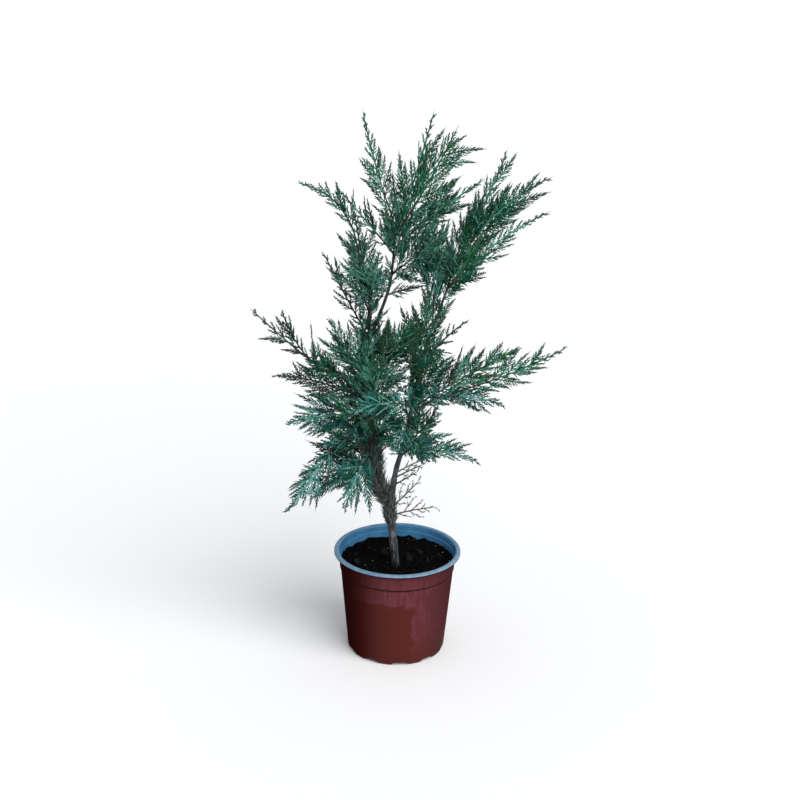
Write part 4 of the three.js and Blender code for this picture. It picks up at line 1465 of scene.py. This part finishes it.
    def build(self) -> list[tuple[bpy.types.Object, tuple[str, ...]]]:
        """Joins the cords by part of the crown and by kind.

        Returns:
            The pieces, each with the nodes that it stands for.
        """
        axes, sides, cordlets, tips = self.grow()
        pieces = []
        for region in Region:
            for kind, parts in (
                ("twigs", ((axes, self.axis_shape, True), (sides, self.branchlet_shape, True))),
                ("cordlets", ((cordlets, self.cordlet_shape, False), (tips, self.tip_shape, False))),
            ):
                own = [(cords.pick(cords.region == region.number), *rest) for cords, *rest in parts]
                pieces.append((joined_cords(f"{kind}_{region.value}", own), tuple(SPRAYS[region])))
        return pieces

    def dress(self, pieces: list[tuple[bpy.types.Object, tuple[str, ...]]]) -> None:
        """Puts the foliage on the frame; its tints are in its meshes."""
        for piece, nodes in pieces:
            hand_over(piece, "foliage", *nodes)


def joined_cords(name: str, parts: list[tuple[Cords, CordShape, bool]]) -> bpy.types.Object:
    """Joins cords of several shapes into one piece with the tints that they use.

    Args:
        name: The piece's name.
        parts: Cords, their shape, and whether they take the tint of lines.

    Returns:
        The piece.
    """
    places, corners, shades, start = [], [], [], 0
    for cords, shape, lines in parts:
        p, c, s = shape.mesh(cords, cords.line_tint if lines else cords.tint)
        places.append(p)
        corners.append(c + start)
        shades.append(s)
        start += len(p)
    used, slots = np.unique(np.concatenate(shades), return_inverse=True)
    piece = piece_of_arrays(name, np.concatenate(places), np.concatenate(corners), slots)
    for number in used:
        piece.data.materials.append(list(Tint)[number].finish().material())
    return piece


@dataclass
class DeadGrowth:
    """What has died low on the plant: bare grey twigs, and shaggy old scales round the fork."""

    lines: dict[str, LimbLine]
    side_twigs: ForkRule = ForkRule(
        spacing=6, first=0.15, last=0.95, angle=46, angle_at_tip=30, angle_spread=10, twist_spread=40,
        shortest=8, longest=28, radius=0.85, spread=0.34, sweep=0.25, lift=0.05, fullness=SPRAY_FULLNESS,
    )
    twiglets: ForkRule = ForkRule(
        spacing=4, first=0.15, last=0.95, angle=40, angle_at_tip=30, angle_spread=10, twist_spread=50,
        shortest=4, longest=10, radius=0.75, spread=0, sweep=0.25, lift=0.0, fullness=SPRAY_FULLNESS,
        fewest=1,
    )
    twig_shape: CordShape = CordShape(
        ((0.0, 1.0), (0.25, 0.9), (0.5, 0.8), (0.75, 0.7)), sides=5, flatness=1.0
    )
    twig_tints: tuple[Tint, ...] = (Tint.DEAD, Tint.ASH)
    # The shag, and its tints with their shares
    shag_rules: tuple[ShootRule, ...] = (
        ShootRule("trunk", 0.68, 1.0, 800, (8, 19), (12, 40)),
        ShootRule("left_stem", 0.0, 0.24, 2600, (9, 27), (16, 52)),
        ShootRule("left_stem", 0.2, 0.4, 900, (8, 21), (16, 48)),
        ShootRule("right_stem", 0.0, 0.12, 260, (5, 10), (12, 28)),
    )
    scale_radius: float = 0.442
    scale_shape: CordShape = CordShape(((0.0, 0.8), (0.4, 1.1), (0.75, 0.7)))
    scale_tints: tuple[tuple[Tint, float], ...] = (
        (Tint.DEAD, 0.28), (Tint.ASH, 0.24), (Tint.WORN, 0.24), (Tint.WOOD, 0.12), (Tint.DARK, 0.12),
    )

    def build(self) -> list[bpy.types.Object]:
        """Makes the dry twigs and the shag of dead scales.

        Returns:
            The two pieces.
        """
        rng = np.random.default_rng(SEED + 1)
        rows = (*DRY_TWIGS.values(), *BARE_TWIGS)
        # Dead growth isn't divided by part of the crown, so the part that is named here has no effect
        axes = spray_axes([(row, Region.MIDDLE) for row in rows], self.lines, rng)
        sides = self.side_twigs.grow(axes, rng)
        ends = self.twiglets.grow(sides, rng)
        for cords in (axes, sides, ends):
            cords.line_tint = rng.choice([tint.number for tint in self.twig_tints], len(cords.foot))
        twigs = joined_cords("dry_twigs", [(cords, self.twig_shape, True) for cords in (axes, sides, ends)])
        scales = Cords.joined([rule.grow(self.lines[rule.limb], rng) for rule in self.shag_rules])
        scales.radius = np.full(len(scales.foot), self.scale_radius)
        tints, shares = zip(*self.scale_tints)
        scales.tint = rng.choice([tint.number for tint in tints], len(scales.foot), p=shares)
        shag = joined_cords("dead_scales", [(scales, self.scale_shape, False)])
        return [twigs, shag]

    def dress(self, pieces: list[bpy.types.Object]) -> None:
        """Puts the dead growth on the frame.

        Args:
            pieces: The dry twigs and the shag.
        """
        twigs, shag = pieces
        hand_over(twigs, "dry_twig", *DRY_TWIGS)
        hand_over(shag, "dry_twig")


# ---- Pot and soil ----


class PotSkin(Numbered):
    """The pot's skins, in the order of its material slots."""

    OUTSIDE = POT_SKIN
    LINING = POT_LINING
    LIP = POT_LIP


@dataclass
class NurseryPot:
    """The thin two-tone pot: a rolled lip, a collar that ends in a step, and arches between its feet."""

    height: float = 142.5
    rim_radius: float = 85.0
    lip_width: float = 6.5
    lip_height: float = 4.0
    lip_wall: float = 1.4
    # Hollow under the lip, width and drop of its outer shoulder, and flat between the collar and its top
    lip_hollow: float = 1.2
    lip_shoulder: tuple[float, float] = (2.2, 1.6)
    lip_flat: float = 1.2
    # Width and depth of the flare inside the lip
    mouth: tuple[float, float] = (0.6, 2.4)
    # Height to which the outer skin shows on the lip, and how far outside the collar its scuffed blue begins
    lip_skin: float = 1.2
    lip_inset: float = 0.6
    collar_height: float = 21.0
    collar_taper: float = 1.6
    step: float = 1.2
    groove_height: float = 2.6
    groove_depth: float = 0.7
    wall: float = 1.2
    foot_radius: float = 65.0
    foot_rounding: float = 2.0
    floor_radius: float = 50.0
    arches: int = 10
    arch_height: float = 4.5
    arch_start: float = 0.4
    arch_share: float = 0.5
    arch_slope: float = 0.1
    # Height of the lowest band of wall, above which the arches leave it even
    arch_band: float = 9.0
    # Ledge inside, on which stacked pots rest
    ledge_drop: float = 9.0
    ledge: float = 0.9
    ledge_slope: float = 0.8
    sides: int = 160
    rounding_segments: int = 4
    # How near its corner of the profile an edge lies, and how far a face looks up that shows the lining
    corner_reach: float = 0.02
    looks_up: float = 0.7

    def profile(self) -> list[tuple[float, float, float]]:
        """Draws the wall from under the floor round to its inside.

        Returns:
            Radius, height and rounding of each corner.
        """
        collar_top = self.rim_radius - self.lip_width
        collar_foot = collar_top - self.collar_taper
        body_top = collar_foot - self.step
        lip_foot = self.height - self.lip_height
        step_level = lip_foot - self.collar_height
        band_radius = self.foot_radius + (body_top - self.foot_radius) * self.arch_band / step_level
        inside = collar_top - self.wall
        ledge_level = self.height - self.ledge_drop
        floor = self.arch_height + self.wall
        return [
            (0, 0, 0),
            (self.floor_radius, 0, 0),
            (self.foot_radius - self.foot_rounding, 0, 0),
            (self.foot_radius, self.foot_rounding, 1.0),
            (band_radius, self.arch_band, 0),
            (body_top, step_level - self.groove_height, 0.4),
            (body_top - self.groove_depth, step_level - self.groove_height / 2, 0.0),
            (collar_foot, step_level, 0.5),
            (collar_top, lip_foot + self.lip_hollow, 0.6),
            (self.rim_radius - self.lip_wall, lip_foot + self.lip_hollow, 0.4),
            (self.rim_radius - self.lip_wall, lip_foot, 0.4),
            (self.rim_radius, lip_foot, 0.4),
            (self.rim_radius, lip_foot + self.lip_skin, 0.0),
            (self.rim_radius, self.height - self.lip_shoulder[1], 1.4),
            (self.rim_radius - self.lip_shoulder[0], self.height, 1.2),
            (collar_top + self.lip_flat, self.height, 1.0),
            (inside + self.mouth[0], self.height - self.mouth[1], 1.0),
            (inside, ledge_level, 0.3),
            (inside - self.ledge, ledge_level - self.ledge_slope, 0.3),
            (collar_foot - self.wall, step_level, 0.4),
            (body_top - self.wall, step_level - self.step, 0.4),
            (self.foot_radius - self.wall, floor + self.foot_rounding, 1.0),
            (0, floor, 0),
        ]

    def arch(self, angle: float) -> float:
        """Height of the arches round the foot.

        Args:
            angle: Angle round the pot.

        Returns:
            Height in millimetres, 0 where a foot stands.
        """
        share = (angle / (2 * math.pi) * self.arches - self.arch_start) % 1
        rise = min(share, self.arch_share - share) / self.arch_slope + 0.5
        return self.arch_height * min(1.0, max(0.0, rise))

    def build(self) -> bpy.types.Object:
        """Turns the profile round the axis, rounds its corners and raises the arches.

        Returns:
            The pot.
        """
        rows = self.profile()
        bm = turned([(radius, height) for radius, height, _ in rows], self.sides)
        for radius, height, rounding in rows:
            if rounding:
                corner = Vector((radius, height))
                near = {
                    vert
                    for vert in bm.verts
                    if (Vector((vert.co.xy.length, vert.co.z)) - corner).length < self.corner_reach
                }
                bmesh.ops.bevel(
                    bm, geom=[edge for edge in bm.edges if near.issuperset(edge.verts)], offset=rounding,
                    offset_type="OFFSET", segments=self.rounding_segments, profile=0.5, affect="EDGES",
                    material=-1, clamp_overlap=True,
                )
        for vert in bm.verts:
            if vert.co.xy.length > self.floor_radius + MERGE:
                vert.co.z = max(vert.co.z, self.arch(math.atan2(vert.co.y, vert.co.x)))
        lip_foot = self.height - self.lip_height
        for face in bm.faces:
            middle = face.calc_center_median()
            inward = face.normal.xy.dot(middle.xy) < 0 and middle.z > self.arch_height
            beyond_collar = middle.xy.length > self.rim_radius - self.lip_width + self.lip_inset
            if middle.z > lip_foot + self.lip_skin and beyond_collar:
                skin = PotSkin.LIP
            elif inward or face.normal.z > self.looks_up:
                skin = PotSkin.LINING
            else:
                skin = PotSkin.OUTSIDE
            face.material_index = skin.number
        return piece_of("pot_shell", bm)

    def dress(self, pot: bpy.types.Object) -> None:
        """Gives the pot its skins and puts it on the frame.

        Args:
            pot: The pot.
        """
        for skin in PotSkin:
            pot.data.materials.append(skin.value.material())
        hand_over(pot, "pot_plastic", "pot")


@dataclass(frozen=True)
class Scatter:
    """Loose bits of one kind: how many, their least and greatest size, how long they are for their thickness,
    and their finish."""

    count: int
    sizes: tuple[float, float]
    longer: float
    finish: Finish


class Bit(Enum):
    """Kinds of loose bits on the soil."""

    CRUMB = Scatter(760, (1.2, 4.2), 1.3, PEAT)
    CLOD = Scatter(14, (4.5, 11.0), 1.4, DRY_PEAT)
    PERLITE = Scatter(46, (0.7, 1.7), 1.1, PERLITE)
    CHIP = Scatter(12, (1.2, 2.4), 3.4, BARK_CHIP)


@dataclass
class PottingSoil:
    """Peat mix that fills the pot to a little under the lip, with crumbs, perlite and bark chips on it."""

    level: float = 126.0
    dip: float = 3.0
    level_radius: float = 22.0
    slope_radius: float = 55.0
    depth: float = 8.0
    radius: float = 76.4
    rings: int = 52
    sides: int = 190
    clod: float = 9.0
    clod_height: float = 1.7
    crumb: float = 3.2
    crumb_height: float = 0.9
    # Rough climb at the wall: how high, the size of its clods, where it begins and over what width
    edge_climb: float = 2.2
    edge_clod: float = 11.0
    edge_start: float = 62.0
    edge_width: float = 14.0
    # Shifts of the noises against that of the clods
    crumb_shift: Point = (5.0, 9.0, 1.0)
    edge_shift: Point = (3.0, 1.0, 8.0)
    # Loose bits: how far out they lie and how far from the trunk, how rare large ones are, how uneven, flat
    # and tilted they are, and how far they stand out
    scatter_radius: float = 72.0
    trunk_gap: float = 8.5
    rarity: int = 3
    uneven: tuple[float, float] = (0.65, 1.25)
    flatness: float = 0.75
    tilt: float = 0.35
    raised: float = 0.2

    def height(self, x: float, y: float) -> float:
        """Height of the soil at a place: level round the trunk, higher and cloddy towards the wall.

        Args:
            x: Place along X.
            y: Place along Y.

        Returns:
            Height above the ground.
        """
        from_trunk = math.hypot(x - TRUNK_FOOT[0], y - TRUNK_FOOT[1])
        rise = min(1.0, max(0.0, (from_trunk - self.level_radius) / (self.slope_radius - self.level_radius)))
        out = min(1.0, max(0.0, (math.hypot(x, y) - self.edge_start) / self.edge_width))
        place = Vector((x, y, 0))
        # The noise seldom passes a half, so it is doubled
        clods = abs(noise.noise(place / self.clod)) * self.clod_height * 2 - self.clod_height * 0.5
        crumbs = noise.noise(place / self.crumb + Vector(self.crumb_shift)) * self.crumb_height
        climb = out * self.edge_climb * noise.noise(place / self.edge_clod + Vector(self.edge_shift)) * 2
        return self.level - self.dip + rise * self.dip + clods + crumbs + climb

    def build(self) -> list[bpy.types.Object]:
        """Makes the bed of soil and the kinds of bits on it.

        Returns:
            The bed, then crumbs, clods, perlite and chips.
        """
        bottom = self.level - self.depth
        profile = [(0, bottom), (self.radius, bottom)]
        profile += [(self.radius * ring / self.rings, self.level) for ring in range(self.rings, -1, -1)]
        bm = turned(profile, self.sides)
        for vert in bm.verts:
            if vert.co.z > self.level - self.depth / 2:
                vert.co.z = self.height(vert.co.x, vert.co.y)
        rng = np.random.default_rng(SEED + 2)
        return [piece_of("soil_bed", bm), *(self.scatter(bit, rng) for bit in Bit)]

    def scatter(self, bit: Bit, rng: np.random.Generator) -> bpy.types.Object:
        """Scatters bits of one kind over the soil: uneven lumps, half sunk and turned at random.

        Args:
            bit: The kind.
            rng: The source of random numbers.

        Returns:
            All of them as one piece.
        """
        kind = bit.value
        lump = bmesh.new()
        bmesh.ops.create_icosphere(lump, subdivisions=1, radius=1)
        shape = np.array([vert.co for vert in lump.verts])
        faces = np.array([[vert.index for vert in face.verts] for face in lump.faces])
        lump.free()
        places, corners = [], []
        while len(places) < kind.count:
            reach, angle = self.scatter_radius * math.sqrt(rng.uniform()), rng.uniform(0, 2 * math.pi)
            x, y = reach * math.cos(angle), reach * math.sin(angle)
            if math.hypot(x - TRUNK_FOOT[0], y - TRUNK_FOOT[1]) < self.trunk_gap:
                continue
            size = kind.sizes[0] + (kind.sizes[1] - kind.sizes[0]) * rng.uniform() ** self.rarity
            uneven = shape * rng.uniform(*self.uneven, (len(shape), 1))
            uneven = uneven * (kind.longer, 1.0, self.flatness) * size / 2
            spin = Matrix.Rotation(rng.uniform(0, 2 * math.pi), 3, "Z")
            turn = spin @ Matrix.Rotation(rng.normal(0, self.tilt), 3, "Y")
            spot = np.array((x, y, self.height(x, y) + self.raised * size))
            corners.append(faces + len(places) * len(shape))
            places.append(uneven @ np.array(turn).T + spot)
        name, triangles = f"soil_{bit.name.lower()}s", np.concatenate(corners)
        return piece_of_arrays(name, np.concatenate(places), triangles, np.zeros(len(triangles)))

    def dress(self, pieces: list[bpy.types.Object]) -> None:
        """Gives the soil and its bits their finishes and puts them on the frame.

        Args:
            pieces: The bed, then the kinds of bits.
        """
        for piece, finish in zip(pieces, (PEAT, *(bit.value.finish for bit in Bit))):
            piece.data.materials.append(finish.material())
            hand_over(piece, "soil", *(("soil",) if piece is pieces[0] else ()))


# ---- Studio ----


@dataclass
class Studio:
    """A pale floor, soft light from above and in front, and a camera where the photographer stood."""

    floor_width: float = 30_000.0
    floor_segments: int = 8
    # The camera, as worked out from the photo, with its angles in degrees
    camera_place: Point = (0.11, -2348.66, 1255.26)
    pitch: float = 20.949
    roll: float = 1.0
    focal_pixels: float = 1927.0
    image_pixels: float = 800.0
    sensor: float = 36.0
    # Metres to which the camera sees
    far_clip: float = 100.0
    sky: str = "#f6f8ff"
    sky_strength: float = 0.55
    # A very wide softbox far off, so that the floor is as bright at the back as at the front
    key_from: Point = (0.62, -0.78, 0.85)
    key_strength: float = 2.65
    key_width: float = 56.0

    def build(self) -> None:
        """Sets out floor, light and camera."""
        bm = bmesh.new()
        bmesh.ops.create_grid(
            bm, x_segments=self.floor_segments, y_segments=self.floor_segments, size=self.floor_width / 2
        )
        floor = piece_of("studio_floor", bm)
        floor.data.materials.append(FLOOR_BOARD.material())
        key = bpy.data.lights.new("key_light", "SUN")
        key.energy, key.angle = self.key_strength, math.radians(self.key_width)
        lamp = object_of("key_light", key)
        lamp.rotation_euler = Vector(self.key_from).to_track_quat("Z", "Y").to_euler()
        world = bpy.data.worlds.new("soft sky")
        world.use_nodes = True
        backdrop = world.node_tree.nodes["Background"]
        backdrop.inputs["Color"].default_value = linear(self.sky)
        backdrop.inputs["Strength"].default_value = self.sky_strength
        scene = bpy.context.scene
        scene.world = world
        scene.view_settings.view_transform = "Standard"
        self.set_camera(scene)

    def set_camera(self, scene: bpy.types.Scene) -> None:
        """Places the camera, pitched down and a little rolled.

        Args:
            scene: The scene that it belongs to.
        """
        lens = bpy.data.cameras.new("photo_camera")
        lens.sensor_width, lens.lens = self.sensor, self.sensor * self.focal_pixels / self.image_pixels
        lens.clip_end = self.far_clip
        camera = object_of("photo_camera", lens)
        pitch, roll = math.radians(self.pitch), math.radians(self.roll)
        level_up = Vector((0, math.sin(pitch), math.cos(pitch)))
        right = Vector((1, 0, 0)) * math.cos(roll) + level_up * math.sin(roll)
        up = level_up * math.cos(roll) - Vector((1, 0, 0)) * math.sin(roll)
        turn = Matrix((right, up, right.cross(up))).transposed().to_4x4()
        camera.matrix_world = Matrix.Translation(Vector(self.camera_place) * MM) @ turn
        scene.camera = camera


def main() -> None:
    """Builds and dresses the plant, its pot and the studio."""
    logging.basicConfig(level=logging.INFO, format="%(name)s: %(message)s")
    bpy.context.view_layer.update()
    lines = lay_out_limbs()
    for assembly in (NurseryPot(), PottingSoil(), BarkedLimbs(lines), SprayFoliage(lines), DeadGrowth(lines)):
        assembly.dress(assembly.build())
    Studio().build()


if __name__ == "__main__":
    main()
